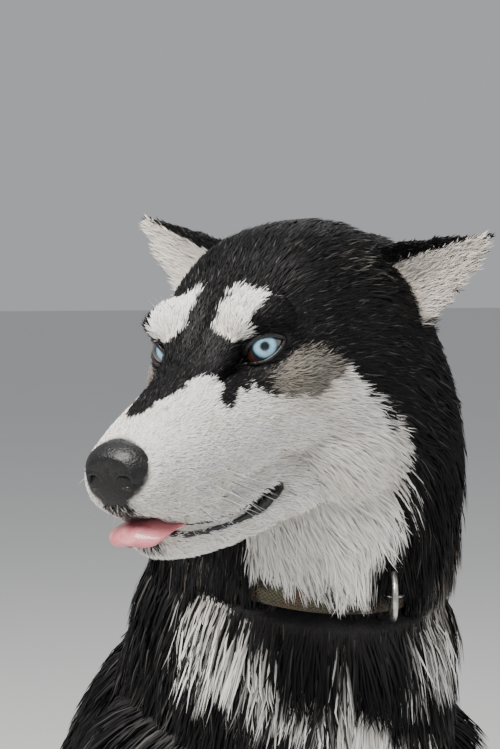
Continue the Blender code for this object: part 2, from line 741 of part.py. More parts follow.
def claw(name, toe, grow, collection):
    """A blunt claw that leaves its toe forwards and down."""
    bm = bmesh.new()
    way = Vector(CLAW_WAY).normalized()
    turn = way.to_track_quat("Z", "Y").to_matrix().to_4x4()
    place = Matrix.Translation(Vector(toe) + way * (CLAW_LENGTH / 2)) @ turn
    bmesh.ops.create_cone(bm, cap_ends=True, segments=6, radius1=CLAW_RADIUS + grow,
                          radius2=CLAW_RADIUS * 0.35 + grow, depth=CLAW_LENGTH + 2 * grow,
                          matrix=place)
    return new_object(name, bm, collection)


def fit_claws(pieces, parts, cutters):
    """Four claws on each paw, with room for their roots in the toes."""
    for paw, centre in (("forepaw", FOREPAW), ("hindpaw", HINDPAW)):
        for side, word in ((1, "left"), (-1, "right")):
            x, y, z = centre
            for index, (across, ahead) in enumerate(zip(TOE_ACROSS, TOE_AHEAD)):
                toe = (side * (x + across), y - ahead - CLAW_AHEAD, z - CLAW_BELOW)
                name = "%s_%s_claw_%d" % (paw, word, index + 1)
                claw(name, toe, 0.0, parts)
                room = claw("claw_room", toe, GAP, cutters)
                boolean(pieces[paw + "_" + word], room, "DIFFERENCE")
                discard(room)
            keep_largest(pieces[paw + "_" + word])


def give_materials(parts):
    """Each piece's material, by its name."""
    made = {name: material(name) for name in COLOURS}
    for obj in parts.objects:
        slot = next(slot for start, slot in MADE_OF if obj.name.startswith(start))
        obj.data.materials.clear()
        obj.data.materials.append(made[slot])


def centre_on_floor(parts):
    """Bring the middle of the whole dog over the origin, with its lowest points at z = 0."""
    points = np.array([vert.co for obj in parts.objects for vert in obj.data.vertices])
    low, high = points.min(axis=0), points.max(axis=0)
    shift = Matrix.Translation((-(low[0] + high[0]) / 2, -(low[1] + high[1]) / 2, -low[2]))
    for obj in parts.objects:
        obj.data.transform(shift)


def main():
    """Build the dog."""
    clear_scene()
    scene = bpy.context.scene
    parts = bpy.data.collections.new("siberian_husky")
    cutters = bpy.data.collections.new("cutters")
    scene.collection.children.link(parts)
    scene.collection.children.link(cutters)
    body = fused_body(parts)
    head = head_frame()
    pieces = {}
    for cut in TAIL_CUTS:
        pieces[cut[0]] = take_off(body, cut, cutters)
    for side, word in ((1, "left"), (-1, "right")):
        for name, point, way, across, along, reach in LEG_CUTS:
            point = (side * point[0],) + point[1:]
            way = (side * way[0],) + way[1:]
            cut = (name + "_" + word, point, way, across, along, reach)
            pieces[cut[0]] = take_off(body, cut, cutters)
    pieces["head"] = take_off(body, HEAD_CUT, cutters, head)
    pieces["lower_jaw"] = take_off(pieces["head"], JAW_CUT, cutters, head)
    up = collar_plane().to_3x3() @ Vector((0.0, 0.0, 1.0))
    neck_cut = ("neck", COLLAR_CENTRE, up, 0.2, 0.2, NECK_CUT_REACH)
    pieces["neck"] = take_off(body, neck_cut, cutters)
    pieces["chest"] = take_off(body, CHEST_CUT, cutters)
    pieces["abdomen"] = take_off(body, ABDOMEN_CUT, cutters)
    body.name = "pelvis"
    fit_collar(pieces, parts, cutters)
    fit_eyes(pieces, head, parts, cutters)
    fit_face(pieces, head, parts, cutters)
    fit_claws(pieces, parts, cutters)
    bpy.data.collections.remove(cutters)
    give_materials(parts)
    centre_on_floor(parts)


main()
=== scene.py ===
"""Looks of a sitting Siberian husky: skin, coat, eyes, nose, mouth, claws, collar and studio.

Metres, +Z up. The dog's body faces -Y and its left is +X. The head has a frame of its own:
x to the dog's left, y back, z up, from the point midway between the eyes.
"""

import math

import bmesh
import bpy
import numpy as np
from mathutils import Matrix, Vector, kdtree
from mathutils.bvhtree import BVHTree


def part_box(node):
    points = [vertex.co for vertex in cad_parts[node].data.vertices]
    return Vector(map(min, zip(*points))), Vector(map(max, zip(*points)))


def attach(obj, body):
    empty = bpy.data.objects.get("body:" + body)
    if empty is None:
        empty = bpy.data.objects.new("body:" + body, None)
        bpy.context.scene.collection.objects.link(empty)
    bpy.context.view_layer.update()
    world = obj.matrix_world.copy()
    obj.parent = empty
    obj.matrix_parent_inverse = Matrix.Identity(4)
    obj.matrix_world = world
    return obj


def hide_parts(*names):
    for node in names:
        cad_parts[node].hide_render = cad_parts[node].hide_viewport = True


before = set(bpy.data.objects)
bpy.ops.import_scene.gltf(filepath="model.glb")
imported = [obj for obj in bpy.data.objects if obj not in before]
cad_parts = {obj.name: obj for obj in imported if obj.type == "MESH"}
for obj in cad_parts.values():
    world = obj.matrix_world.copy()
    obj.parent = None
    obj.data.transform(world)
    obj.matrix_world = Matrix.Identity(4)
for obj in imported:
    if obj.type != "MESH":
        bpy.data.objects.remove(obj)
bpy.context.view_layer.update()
MM = 0.001
SIDES = {"left": 1, "right": -1}

# Pose of the head, as the solids have it
HEAD_TURN = 60.0
HEAD_NOD = 14.0
HEAD_TILT = -3.0
MID_EYE_IN_PART = Vector((-0.089, -0.155, 0.680))
EYE_SPREAD = 0.0295
EYE_BACK = -0.003
EYE_RADIUS = 0.0120

# Share of the coat's depth that is dense undercoat and counts as skin here
UNDERCOAT = 0.50
HEAD_UNDERCOAT = 0.40

# Fineness of the skin
VOXEL = 0.0024
SMOOTH_STEPS = 5
BLEND_STEPS = 26
SKIN_TRIANGLES = 150000

# Lowest height of the skin and the hair, just over the floor
LOWEST_SKIN = 0.0004
LOWEST_HAIR = 0.0006

# Trunk, neck, legs and tail: x, y, z, half width, half depth, coat
TRUNK = (
    (0.0, -0.062, 0.462, 0.070, 0.086, 0.026),
    (0.0, -0.005, 0.405, 0.086, 0.112, 0.026),
    (0.0, 0.070, 0.325, 0.096, 0.112, 0.025),
    (0.0, 0.145, 0.240, 0.090, 0.094, 0.024),
    (0.0, 0.205, 0.160, 0.088, 0.090, 0.024),
    (0.0, 0.235, 0.100, 0.078, 0.078, 0.022),
)
NECK = (
    (0.000, -0.040, 0.440, 0.076, 0.104, 0.030),
    (0.000, -0.060, 0.510, 0.068, 0.088, 0.031),
    (0.000, -0.078, 0.575, 0.062, 0.073, 0.032),
    (-0.005, -0.098, 0.635, 0.060, 0.064, 0.032),
    (-0.016, -0.114, 0.675, 0.056, 0.056, 0.024),
)
FORELEG = (
    (0.062, -0.050, 0.430, 0.036, 0.064, 0.022),
    (0.074, -0.034, 0.365, 0.038, 0.060, 0.020),
    (0.080, -0.018, 0.300, 0.031, 0.042, 0.016),
    (0.079, -0.026, 0.240, 0.023, 0.030, 0.011),
    (0.076, -0.040, 0.170, 0.018, 0.022, 0.009),
    (0.074, -0.050, 0.110, 0.017, 0.019, 0.007),
    (0.073, -0.058, 0.070, 0.017, 0.017, 0.006),
    (0.074, -0.078, 0.036, 0.023, 0.020, 0.005),
)
THIGH = (
    (0.052, 0.205, 0.140, 0.050, 0.084, 0.022),
    (0.092, 0.150, 0.158, 0.046, 0.082, 0.020),
    (0.116, 0.092, 0.164, 0.038, 0.060, 0.018),
    (0.124, 0.058, 0.150, 0.028, 0.040, 0.014),
)
SHANK = (
    (0.124, 0.062, 0.136, 0.027, 0.036, 0.013),
    (0.129, 0.110, 0.098, 0.025, 0.036, 0.013),
    (0.130, 0.165, 0.064, 0.020, 0.028, 0.011),
    (0.128, 0.208, 0.036, 0.015, 0.020, 0.008),
)
METATARSUS = (
    (0.128, 0.205, 0.030, 0.016, 0.019, 0.007),
    (0.130, 0.140, 0.024, 0.016, 0.017, 0.006),
    (0.133, 0.080, 0.022, 0.018, 0.017, 0.005),
    (0.136, 0.040, 0.024, 0.024, 0.019, 0.005),
)
TAIL = (
    (0.000, 0.255, 0.092, 0.028, 0.028, 0.022),
    (0.004, 0.325, 0.066, 0.020, 0.020, 0.032),
    (0.030, 0.392, 0.056, 0.016, 0.016, 0.038),
    (0.085, 0.432, 0.053, 0.014, 0.014, 0.040),
    (0.150, 0.430, 0.051, 0.012, 0.012, 0.040),
    (0.208, 0.388, 0.047, 0.010, 0.010, 0.037),
    (0.238, 0.328, 0.036, 0.007, 0.007, 0.028),
    (0.244, 0.284, 0.022, 0.004, 0.004, 0.014),
)

# Head: distance ahead of the eyes, half width, top, bottom, narrowing to the top, coat
SKULL = (
    (-0.120, 0.040, 0.024, -0.050, 0.00, 0.014),
    (-0.094, 0.058, 0.039, -0.072, 0.02, 0.013),
    (-0.062, 0.063, 0.044, -0.080, 0.05, 0.011),
    (-0.032, 0.060, 0.038, -0.079, 0.08, 0.008),
    (-0.010, 0.053, 0.027, -0.070, 0.12, 0.005),
    (0.008, 0.043, 0.013, -0.065, 0.18, 0.004),
    (0.026, 0.037, 0.001, -0.063, 0.22, 0.003),
    (0.050, 0.0335, -0.007, -0.064, 0.24, 0.002),
    (0.074, 0.031, -0.014, -0.065, 0.18, 0.002),
    (0.088, 0.027, -0.019, -0.062, 0.10, 0.002),
)
JAW = (
    (-0.040, 0.038, -0.044, -0.088, 0.00, 0.008),
    (-0.010, 0.034, -0.055, -0.093, 0.00, 0.007),
    (0.020, 0.030, -0.056, -0.095, -0.05, 0.005),
    (0.045, 0.026, -0.058, -0.094, -0.08, 0.004),
    (0.064, 0.022, -0.060, -0.091, -0.08, 0.003),
    (0.077, 0.018, -0.060, -0.087, 0.00, 0.003),
)

# Squareness of the head's sections: 1 is an ellipse
HEAD_POWER = 0.88

# Rounded muscles and pads of the head: left, back, up, then their half sizes and coat
HEAD_PADS = (
    (0.030, 0.064, -0.056, 0.030, 0.055, 0.042, 0.014),
    (0.024, 0.000, 0.011, 0.019, 0.018, 0.013, 0.003),
    (0.035, 0.012, -0.018, 0.017, 0.024, 0.015, 0.005),
    (0.0150, -0.070, -0.0510, 0.0165, 0.027, 0.0165, 0.002),
)

# Ears: base, the way it points and the way it opens, with its outer side positive
EARS = {
    "left": ((0.0525, 0.0950, 0.0060), (0.93, -0.13, 0.34), (-0.04, -0.96, -0.23)),
    "right": ((0.0520, 0.0900, 0.0140), (0.80, -0.06, 0.60), (-0.03, -0.97, -0.06)),
}
EAR_LENGTH = 0.072
EAR_HALF_WIDTH = 0.0295
EAR_HALF_THICKNESS = 0.0030
EAR_TIP = 0.0035
EAR_ROOT = 0.022
EAR_CUP = 0.36
EAR_LEAN = 0.004

# Paws
FOREPAW = (0.075, -0.094, 0.021)
HINDPAW = (0.137, 0.022, 0.020)
PAW_SIZE = (0.0275, 0.0300, 0.0200)
TOE_SIZE = (0.0100, 0.0190, 0.0145)
TOE_ACROSS = (-0.0225, -0.0080, 0.0080, 0.0225)
TOE_AHEAD = (0.020, 0.029, 0.029, 0.020)

# Opening between the lids, in millimetres towards the outer corner and up
LID_OUTLINE = ((-15.5, -3.6), (-11.5, -0.6), (-7.0, 3.6), (-1.0, 6.1), (5.5, 5.2), (9.6, 2.4),
               (11.2, 0.2), (9.2, -2.6), (4.0, -5.4), (-2.5, -6.4), (-8.5, -5.6), (-12.5, -4.6))
LID_GAZE = 30.0
LID_RISE = 6.0
LID_SLANT = 12.0

# Lids: thickness, gap to the eyeball, how far the skin is drawn in, and how deep it sinks between
LID_THICKNESS = 0.0013
LID_GAP = 0.0004
LID_REACH = 0.034
LID_SINK = 0.0030

# Radius of the iris in millimetres, and how much of each eye's gaze is turned to the camera
IRIS_RADIUS = 6.9
GAZE_SHARE = {"left": 0.86, "right": 0.62}

# Mouth line from the front to the corner: left, ahead, up
MOUTH = ((0.000, 0.0950, -0.0640), (0.012, 0.0920, -0.0680), (0.021, 0.0800, -0.0720),
         (0.027, 0.0620, -0.0755), (0.031, 0.0450, -0.0760), (0.035, 0.0310, -0.0740),
         (0.039, 0.0190, -0.0690))

# Nose leather
NOSE_CENTRE = (0.0, -0.0970, -0.0370)
NOSE_SIZE = (0.0198, 0.0150, 0.0165)

# Tongue: ahead, up, half width
TONGUE = ((0.060, -0.0660, 0.0150), (0.074, -0.0658, 0.0178), (0.090, -0.0652, 0.0188),
          (0.099, -0.0674, 0.0172), (0.1045, -0.0722, 0.0115))
TONGUE_HALF_THICKNESS = 0.0023
TONGUE_CURL = 0.16

# Collar
COLLAR_CENTRE = Vector((0.0, -0.066, 0.566))
COLLAR_HALF_WIDTH = 0.080
COLLAR_HALF_DEPTH = 0.094
COLLAR_HEIGHT = 0.025
COLLAR_THICKNESS = 0.0030
COLLAR_SLOPE = 14.0

# Webbing: length and height of one weave, height of the stitches from its middle, and their width
WEAVE_LENGTH = 0.0026
WEAVE_HEIGHT = 0.0022
STITCH_HEIGHT = COLLAR_HEIGHT * 0.38
STITCH_HALF_WIDTH = 0.0006

# Where hair is trimmed so that the band shows: angles from the front to the dog's left
COLLAR_WINDOW = (-42.0, -34.0, -8.0, 2.0)

# Groove of the skin under the band: its reach as a share of the band's, and its edge
GROOVE_REACH = 0.955
GROOVE_EDGE = (0.0005, 0.0055)

# Ring and staple: place round the collar, the way the ring stands, radii and wires
RING_ANGLE = 8.0
RING_FACING = 24.0
RING_RADIUS = 0.0125
RING_WIRE = 0.0016
RING_GAP = 0.0006
STAPLE_RADIUS = 0.0058
STAPLE_WIRE = 0.0010
STAPLE_PROUD = 0.0019

# Radius of a claw and of a whisker at its root
CLAW_RADIUS = 0.0028
WHISKER_RADIUS = 0.00022

# Coat of the head: left, ahead, up; the way the hair lies; length in millimetres, lift in
# degrees, width in millimetres and tufts to the square millimetre
HEAD_COAT = (
    ((0.004, 0.084, -0.018), (0.00, -1.00, 0.10), 2.6, 12, 0.36, 2.6),
    ((0.006, 0.055, -0.006), (0.05, -1.00, 0.12), 3.8, 12, 0.42, 2.4),
    ((0.005, 0.026, 0.004), (0.05, -0.90, 0.45), 5.0, 15, 0.50, 2.0),
    ((0.006, 0.000, 0.028), (0.12, -1.00, 0.50), 8.0, 18, 0.60, 1.6),
    ((0.022, 0.012, 0.018), (0.35, -0.75, 0.55), 6.5, 22, 0.52, 2.1),
    ((0.010, -0.050, 0.050), (0.05, -1.00, 0.05), 12.0, 17, 0.80, 1.1),
    ((0.010, -0.095, 0.042), (0.05, -0.90, -0.40), 20.0, 20, 0.95, 0.8),
    ((0.050, -0.030, 0.022), (0.35, -1.00, -0.10), 10.0, 17, 0.70, 1.4),
    ((0.058, -0.065, 0.020), (0.30, -0.90, -0.35), 16.0, 20, 0.85, 1.0),
    ((0.027, 0.062, -0.034), (0.12, -1.00, -0.12), 3.6, 12, 0.42, 2.4),
    ((0.030, 0.050, -0.060), (0.10, -1.00, -0.40), 4.2, 14, 0.42, 2.3),
    ((0.022, 0.086, -0.046), (0.45, -0.90, -0.15), 2.8, 12, 0.36, 2.6),
    ((0.036, 0.026, -0.022), (0.25, -1.00, -0.22), 4.6, 13, 0.46, 2.2),
    ((0.047, -0.006, -0.002), (0.40, -1.00, 0.02), 6.0, 14, 0.50, 2.0),
    ((0.050, -0.004, -0.034), (0.32, -1.00, -0.38), 9.0, 16, 0.60, 1.7),
    ((0.060, -0.040, -0.040), (0.42, -0.85, -0.48), 17.0, 19, 0.80, 1.2),
    ((0.066, -0.072, -0.056), (0.40, -0.70, -0.70), 24.0, 22, 0.95, 0.9),
    ((0.050, -0.026, -0.082), (0.22, -0.55, -0.85), 17.0, 19, 0.80, 1.2),
    ((0.034, 0.030, -0.084), (0.15, -1.00, -0.32), 6.0, 15, 0.50, 2.0),
    ((0.010, 0.070, -0.092), (0.10, -0.80, -0.50), 4.8, 20, 0.45, 2.1),
    ((0.012, 0.020, -0.098), (0.10, -0.90, -0.40), 9.0, 18, 0.62, 1.5),
    ((0.020, -0.010, -0.104), (0.10, -0.40, -0.90), 18.0, 20, 0.85, 1.1),
    ((0.056, -0.070, -0.100), (0.22, -0.30, -1.00), 30.0, 23, 1.10, 0.8),
)

# Line through the head, and the distances from it within which the coat turns into the neck's
HEAD_AXIS = ((0.0, -0.090, -0.045), (0.0, -0.020, -0.038), (0.0, 0.060, -0.018))
HEAD_REACH = (0.082, 0.116)

# Coat of the body, path by path: length, lift, width and tufts as above
BODY_COAT = {
    "neck": (38.0, 20, 0.95, 0.75),
    "trunk": (36.0, 16, 1.20, 0.30),
    "foreleg": ((30.0, 15, 1.10, 0.42), (9.0, 15, 0.75, 0.80)),
    "thigh": ((30.0, 15, 1.20, 0.32), (22.0, 15, 1.10, 0.36)),
    "shank": ((20.0, 16, 1.30, 0.36), (10.0, 16, 0.95, 0.55)),
    "metatarsus": ((9.0, 15, 0.90, 0.60), (6.0, 14, 0.80, 0.80)),
    "tail": ((42.0, 22, 1.70, 0.34), (34.0, 20, 1.50, 0.60)),
}

# Coat of the ears: length, lift, width and tufts
EAR_OUTSIDE = (6.5, 14, 0.55, 1.6)
EAR_INSIDE = (10.0, 18, 0.55, 1.7)

# How the coat is mixed from its guides: power of the distance, the distance added to it so
# that near guides blend, on the head and the body, and how many points are worked out at a time
GUIDE_POWER = 4.0
HEAD_GUIDE_REACH = 0.006
BODY_GUIDE_REACH = 0.010
CHUNK = 20000

# Limit of a coat piece's triangles, shares of the tufts that are made on the head and the body,
# how much wider the body's are for it, and from how many millimetres hair counts as long
PIECE_TRIANGLES = 190000
HEAD_SHARE = 0.92
BODY_SHARE = 0.56
BODY_WIDENING = 1.28
LONG_HAIR = 14.0

# Side of the patch that a tuft takes on the unwrapped skin
UV_PATCH = 0.003

# Places along a hair, from root to tip, where its line bends
HAIR_STEPS = (0.0, 0.36, 0.72, 1.0)

# Rear edge of the white cheek: height, and how far round it is by the weights of side and back
WHITE_REAR = ((-0.140, 0.046), (-0.120, 0.060), (-0.100, 0.075), (-0.078, 0.082), (-0.055, 0.077),
              (-0.030, 0.064), (-0.012, 0.054), (0.000, 0.020))
ROUND_WAY = (0.819, -0.575)

# Upper edge of the white of the face: ahead, and height
WHITE_TOP = ((-0.050, -0.010), (-0.030, -0.008), (-0.016, -0.021), (0.000, -0.027), (0.012, -0.025),
             (0.024, -0.020), (0.034, -0.013), (0.044, -0.002), (0.060, 0.020))

# Black stripe down the bridge: ahead, and half width. It runs a little to the dog's right
STRIPE = ((0.010, 0.0240), (0.030, 0.0200), (0.050, 0.0148), (0.066, 0.0110), (0.077, 0.0050),
          (0.082, -0.004))
STRIPE_TO_RIGHT = 0.0040

# Spots over the eyes: side, height and radius
BROW_SPOT = (0.0205, 0.0195, 0.0125)

# Dark mark below the inner corner of the eye: side, ahead, height
TEAR_MARK = ((0.0185, 0.020, -0.001), (0.0235, 0.030, -0.006), (0.0300, 0.044, -0.0170))

# Middles of the grey below the eye and of the painted sheen before the ear, paler grey hair that stands for a
# highlight: side, back, raised height
UNDER_EYE = (0.045, 0.000, -0.024)
SHEEN_BEFORE_EAR = (0.054, 0.062, 0.030)

# Sides of the white throat: height, and angles round the neck from the dog's front to its left
THROAT = ((0.545, -13.0, -11.0), (0.560, -17.0, -5.0), (0.578, -20.0, 0.0), (0.600, -25.0, 5.0),
          (0.625, -33.0, 13.0), (0.660, -46.0, 24.0))

# Pale bands across the chest: line to the left and up, half widths at its ends, and amount
BANDS = (
    (((-0.088, 0.572), (-0.086, 0.548), (-0.070, 0.524), (-0.036, 0.500), (-0.006, 0.476)),
     0.004, 0.010, 0.54),
    (((0.068, 0.550), (0.048, 0.528), (0.030, 0.508)), 0.008, 0.011, 0.50),
    (((-0.022, 0.522), (-0.016, 0.505), (-0.002, 0.478)), 0.002, 0.015, 0.90),
)
DARK_PATCH = ((0.038, 0.494), (0.070, 0.482))
NECK_SIDE = (0.052, -0.120, 0.560)

# Waves that make the edges of the markings ragged: size, seed and depth
FACE_EDGE = ((0.012, 3, 0.0018), (0.004, 4, 0.0010))
BODY_EDGE = ((0.050, 7, 0.0080), (0.016, 8, 0.0040))


def rgb(red, green, blue):
    """A colour for a socket."""
    return (red, green, blue, 1.0)


# Colours of the hair. The tan, grey and white roots are darker than the tips, partly the undercoat's own
# colour and partly painted shade deep in the coat
BLACK_ROOT = rgb(0.018, 0.016, 0.016)
BLACK_TIP = rgb(0.0050, 0.0048, 0.0055)
BLACK_PALE = rgb(0.085, 0.078, 0.072)
TAN_SHADED_ROOT = rgb(0.060, 0.042, 0.032)
TAN_TIP = rgb(0.150, 0.092, 0.056)
GREY_SHADED_ROOT = rgb(0.070, 0.066, 0.062)
GREY_TIP = rgb(0.300, 0.270, 0.225)
WHITE_SHADED_ROOT = rgb(0.560, 0.520, 0.480)
WHITE_TIP = rgb(0.900, 0.870, 0.830)
CREAM = rgb(0.620, 0.520, 0.410)

# Solids that the skin stands for
FLESH = ("abdomen", "chest", "ear_left", "ear_right", "forearm_left", "forearm_right",
         "forepaw_left", "forepaw_right", "head", "hindpaw_left", "hindpaw_right", "lower_jaw",
         "neck", "pelvis", "shank_left", "shank_right", "tail_base", "tail_middle", "tail_tip",
         "thigh_left", "thigh_right", "upper_foreleg_left", "upper_foreleg_right")

# Camera: how far beside and above the eyes it aims, and its angles, distance and lens
AIM_ACROSS = 0.0145
AIM_RISE = -0.015
CAMERA_AZIMUTH = -25.0
CAMERA_ELEVATION = 3.0
CAMERA_DISTANCE = 0.93
CAMERA_LENS = 85.0

# Lights: name, azimuth, elevation, distance, size, power and colour
LIGHTS = (
    ("key", -70.0, 50.0, 2.2, 1.3, 138.0, (1.0, 0.98, 0.95)),
    ("fill", 40.0, 20.0, 2.6, 2.2, 20.0, (0.94, 0.97, 1.0)),
    ("rim", 150.0, 45.0, 2.2, 1.2, 9.0, (1.0, 1.0, 1.0)),
)
WORLD_COLOUR = rgb(0.80, 0.82, 0.85)
WORLD_STRENGTH = 0.50
FLOOR_SIZE = 40.0

RNG = np.random.default_rng(11)

# The line between the lips, once it lies on the skin
SETTLED = {}


def turned():
    """The turn of the head's frame."""
    turn = Matrix.Rotation(-math.radians(HEAD_TURN), 3, "Z")
    nod = Matrix.Rotation(math.radians(HEAD_NOD), 3, "X")
    tilt = Matrix.Rotation(math.radians(HEAD_TILT), 3, "Y")
    return turn @ nod @ tilt


def eye_centre(word):
    """The centre of an eyeball in the frame."""
    low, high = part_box("eye_" + word)
    return (low + high) / 2


TURN = turned()
MID_EYE = (eye_centre("left") + eye_centre("right")) / 2 - TURN @ Vector((0, EYE_BACK, 0))
HEAD = Matrix.Translation(MID_EYE) @ TURN.to_4x4()
BODY = Matrix.Translation(MID_EYE - MID_EYE_IN_PART)
TO_HEAD = np.array(HEAD.inverted())
TO_BODY = np.array(BODY.inverted())
COLLAR = BODY @ Matrix.Translation(COLLAR_CENTRE) @ Matrix.Rotation(math.radians(COLLAR_SLOPE), 4, "X")
TO_COLLAR = np.array(COLLAR.inverted())
MID_EYE_ARRAY = np.array(MID_EYE)
TURN_ARRAY = np.array(TURN)


def into(matrix, points):
    """Points of the world in the frame of a matrix that leads into it."""
    return points @ matrix[:3, :3].T + matrix[:3, 3]


def fade(values, start, end):
    """0 at the start and before it, 1 at the end and past it, smooth between."""
    share = np.clip((values - start) / (end - start), 0.0, 1.0)
    return share * share * (3.0 - 2.0 * share)


def fall(values, start, end):
    """1 at the start and before it, 0 at the end and past it, smooth between."""
    return 1.0 - fade(values, start, end)


def unit(vectors):
    """Vectors of length 1."""
    return vectors / np.maximum(np.linalg.norm(vectors, axis=-1, keepdims=True), 1e-9)


def spline(rows, count, closed=False):
    """Points read at even steps from a smooth curve through the stations."""
    rows = np.array(rows, dtype=float)
    if closed:
        padded = np.vstack([rows[-1], rows, rows[0], rows[1]])
        steps = np.linspace(0.0, len(rows), count, endpoint=False)
    else:
        padded = np.vstack([2 * rows[0] - rows[1], rows, 2 * rows[-1] - rows[-2]])
        steps = np.linspace(0.0, len(rows) - 1.0001, count)
    out = []
    for step in steps:
        k = int(step)
        t = step - k
        a, b, c, d = padded[k:k + 4]
        out.append(0.5 * (2 * b + (c - a) * t + (2 * a - 5 * b + 4 * c - d) * t ** 2
                          + (3 * b - a - 3 * c + d) * t ** 3))
    return np.array(out)


def squared(value, power):
    """Push a value of a circle's sine or cosine outwards, for a squarer section."""
    return math.copysign(abs(value) ** power, value)


def ring(bm, centre, side, up, half_width, half_depth, narrow=0.0, capped=False, power=1.0,
         bow=0.0, segments=36):
    """One section of a loft. Narrow draws its top in, and bow bends its edges up."""
    made = bmesh.ops.create_circle(bm, cap_ends=capped, segments=segments, radius=1.0)
    for vert in made["verts"]:
        across, rise = squared(vert.co.x, power), squared(vert.co.y, power)
        width = half_width * (1.0 - narrow * rise)
        lift = half_depth * rise + bow * half_width * across ** 2
        vert.co = centre + side * (width * across) + up * lift
    return {edge for vert in made["verts"] for edge in vert.link_edges}


def join_rings(bm, rings, closed=False):
    """Bridge each ring to the next."""
    for index in range(0 if closed else 1, len(rings)):
        bmesh.ops.bridge_loops(bm, edges=list(rings[index - 1] | rings[index]))


def loft(bm, rows, side, count=20, matrix=BODY, power=1.0, share=UNDERCOAT):
    """A limb or trunk through its stations, with rounded ends, and a share of its coat."""
    rows = [tuple(row) + (0.0,) * (7 - len(row)) for row in rows]
    path = spline(rows, count)
    centres = [Vector(row[:3]) for row in path]
    sections = []
    for index, row in enumerate(path):
        ahead = centres[min(index + 1, count - 1)] - centres[max(index - 1, 0)]
        up = side.cross(ahead).normalized()
        across = ahead.cross(up).normalized()
        width, depth = row[3] + share * row[5], row[4] + share * row[5]
        section = [(centres[index], across, up, width, depth, row[6], False)]
        if index in (0, count - 1):
            outward = ahead.normalized() * (1 if index else -1)
            for angle in (30.0, 55.0, 75.0):
                lift = math.sin(math.radians(angle))
                shrink = math.cos(math.radians(angle))
                centre = centres[index] + outward * (min(width, depth) * lift)
                last = angle == 75.0
                section.append((centre, across, up, width * shrink, depth * shrink, row[6], last))
            if index == 0:
                section.reverse()
        sections += section
    turn = matrix.to_3x3()
    rings = [ring(bm, matrix @ s[0], turn @ s[1], turn @ s[2], *s[3:], power) for s in sections]
    join_rings(bm, rings)


def ball(bm, centre, half_sizes, matrix):
    """An ellipsoid."""
    place = matrix @ Matrix.Translation(centre) @ Matrix.Diagonal((*half_sizes, 1.0))
    bmesh.ops.create_icosphere(bm, subdivisions=4, radius=1.0, matrix=place)


def head_rows(stations):
    """Head stations as loft rows: the section's centre, its half sizes and its coat."""
    rows = []
    for ahead, half_width, top, bottom, narrow, coat in stations:
        rows.append((0.0, -ahead, (top + bottom) / 2, half_width, (top - bottom) / 2, coat, narrow))
    return rows


def mirrored(rows, side):
    """Leg stations of the left side, or of the right."""
    return [(side * row[0],) + tuple(row[1:]) for row in rows]


def add_object(name, data):
    """An object in the scene."""
    obj = bpy.data.objects.new(name, data)
    bpy.context.scene.collection.objects.link(obj)
    return obj


def new_object(name, bm):
    """A piece from a bmesh, smooth, with its faces turned outwards."""
    bmesh.ops.recalc_face_normals(bm, faces=bm.faces)
    mesh = bpy.data.meshes.new(name)
    bm.to_mesh(mesh)
    bm.free()
    mesh.shade_smooth()
    return add_object(name, mesh)


def piece(obj, slot, material, *nodes):
    """Say what a piece is: its material, and the solids that it stands for. Its slot is not used."""
    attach(obj, "root")
    obj.data.materials.clear()
    obj.data.materials.append(material)
    if nodes:
        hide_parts(*nodes)


def bake(obj):
    """Turn the object's modifiers into its mesh."""
    bpy.context.view_layer.update()
    evaluated = obj.evaluated_get(bpy.context.evaluated_depsgraph_get())
    mesh = bpy.data.meshes.new_from_object(evaluated)
    old = obj.data
    obj.modifiers.clear()
    obj.data = mesh
    obj.vertex_groups.clear()
    bpy.data.meshes.remove(old)


def fetch(items, what, width, kind=float):
    """A value of each item, in rows of this width."""
    out = np.empty(len(items) * width, kind)
    items.foreach_get(what, out)
    return out.reshape(-1, width)


def fill(items, what, values, kind=np.float32):
    """Set a value of each item."""
    items.foreach_set(what, values.astype(kind).ravel())


def read(mesh):
    """The mesh's points and their normals."""
    return fetch(mesh.vertices, "co", 3), fetch(mesh.vertex_normals, "vector", 3)


def ear_axes(word):
    """An ear's base and its axes in the head's frame: across, towards the tip, and open."""
    side = SIDES[word]
    mirror = Vector((side, 1.0, 1.0))
    base, points, opens = (Vector(row) * mirror for row in EARS[word])
    points.normalize()
    across = points.cross(opens).normalized()
    return base, across, points, across.cross(points)


def ear_width(rise):
    """Half the width of an ear at a share of its height."""
    return EAR_HALF_WIDTH * (1.0 - rise ** 1.35) + EAR_TIP * rise


def add_ear(bm, word):
    """A cupped, pointed ear, its root sunk in the head."""
    base, across, points, opens = ear_axes(word)
    turn = HEAD.to_3x3()
    rings = []
    steps = 14
    for step in range(steps + 1):
        reach = step / steps * (EAR_LENGTH + EAR_ROOT) - EAR_ROOT
        rise = max(reach / EAR_LENGTH, 0.0)
        width = ear_width(rise)
        centre = HEAD @ (base + points * reach - opens * (EAR_LEAN * rise ** 2))
        rings.append(ring(bm, centre, turn @ across, turn @ opens, width,
                          EAR_HALF_THICKNESS * (1.0 - 0.35 * rise), capped=step in (0, steps),
                          bow=EAR_CUP, segments=28))
    join_rings(bm, rings)


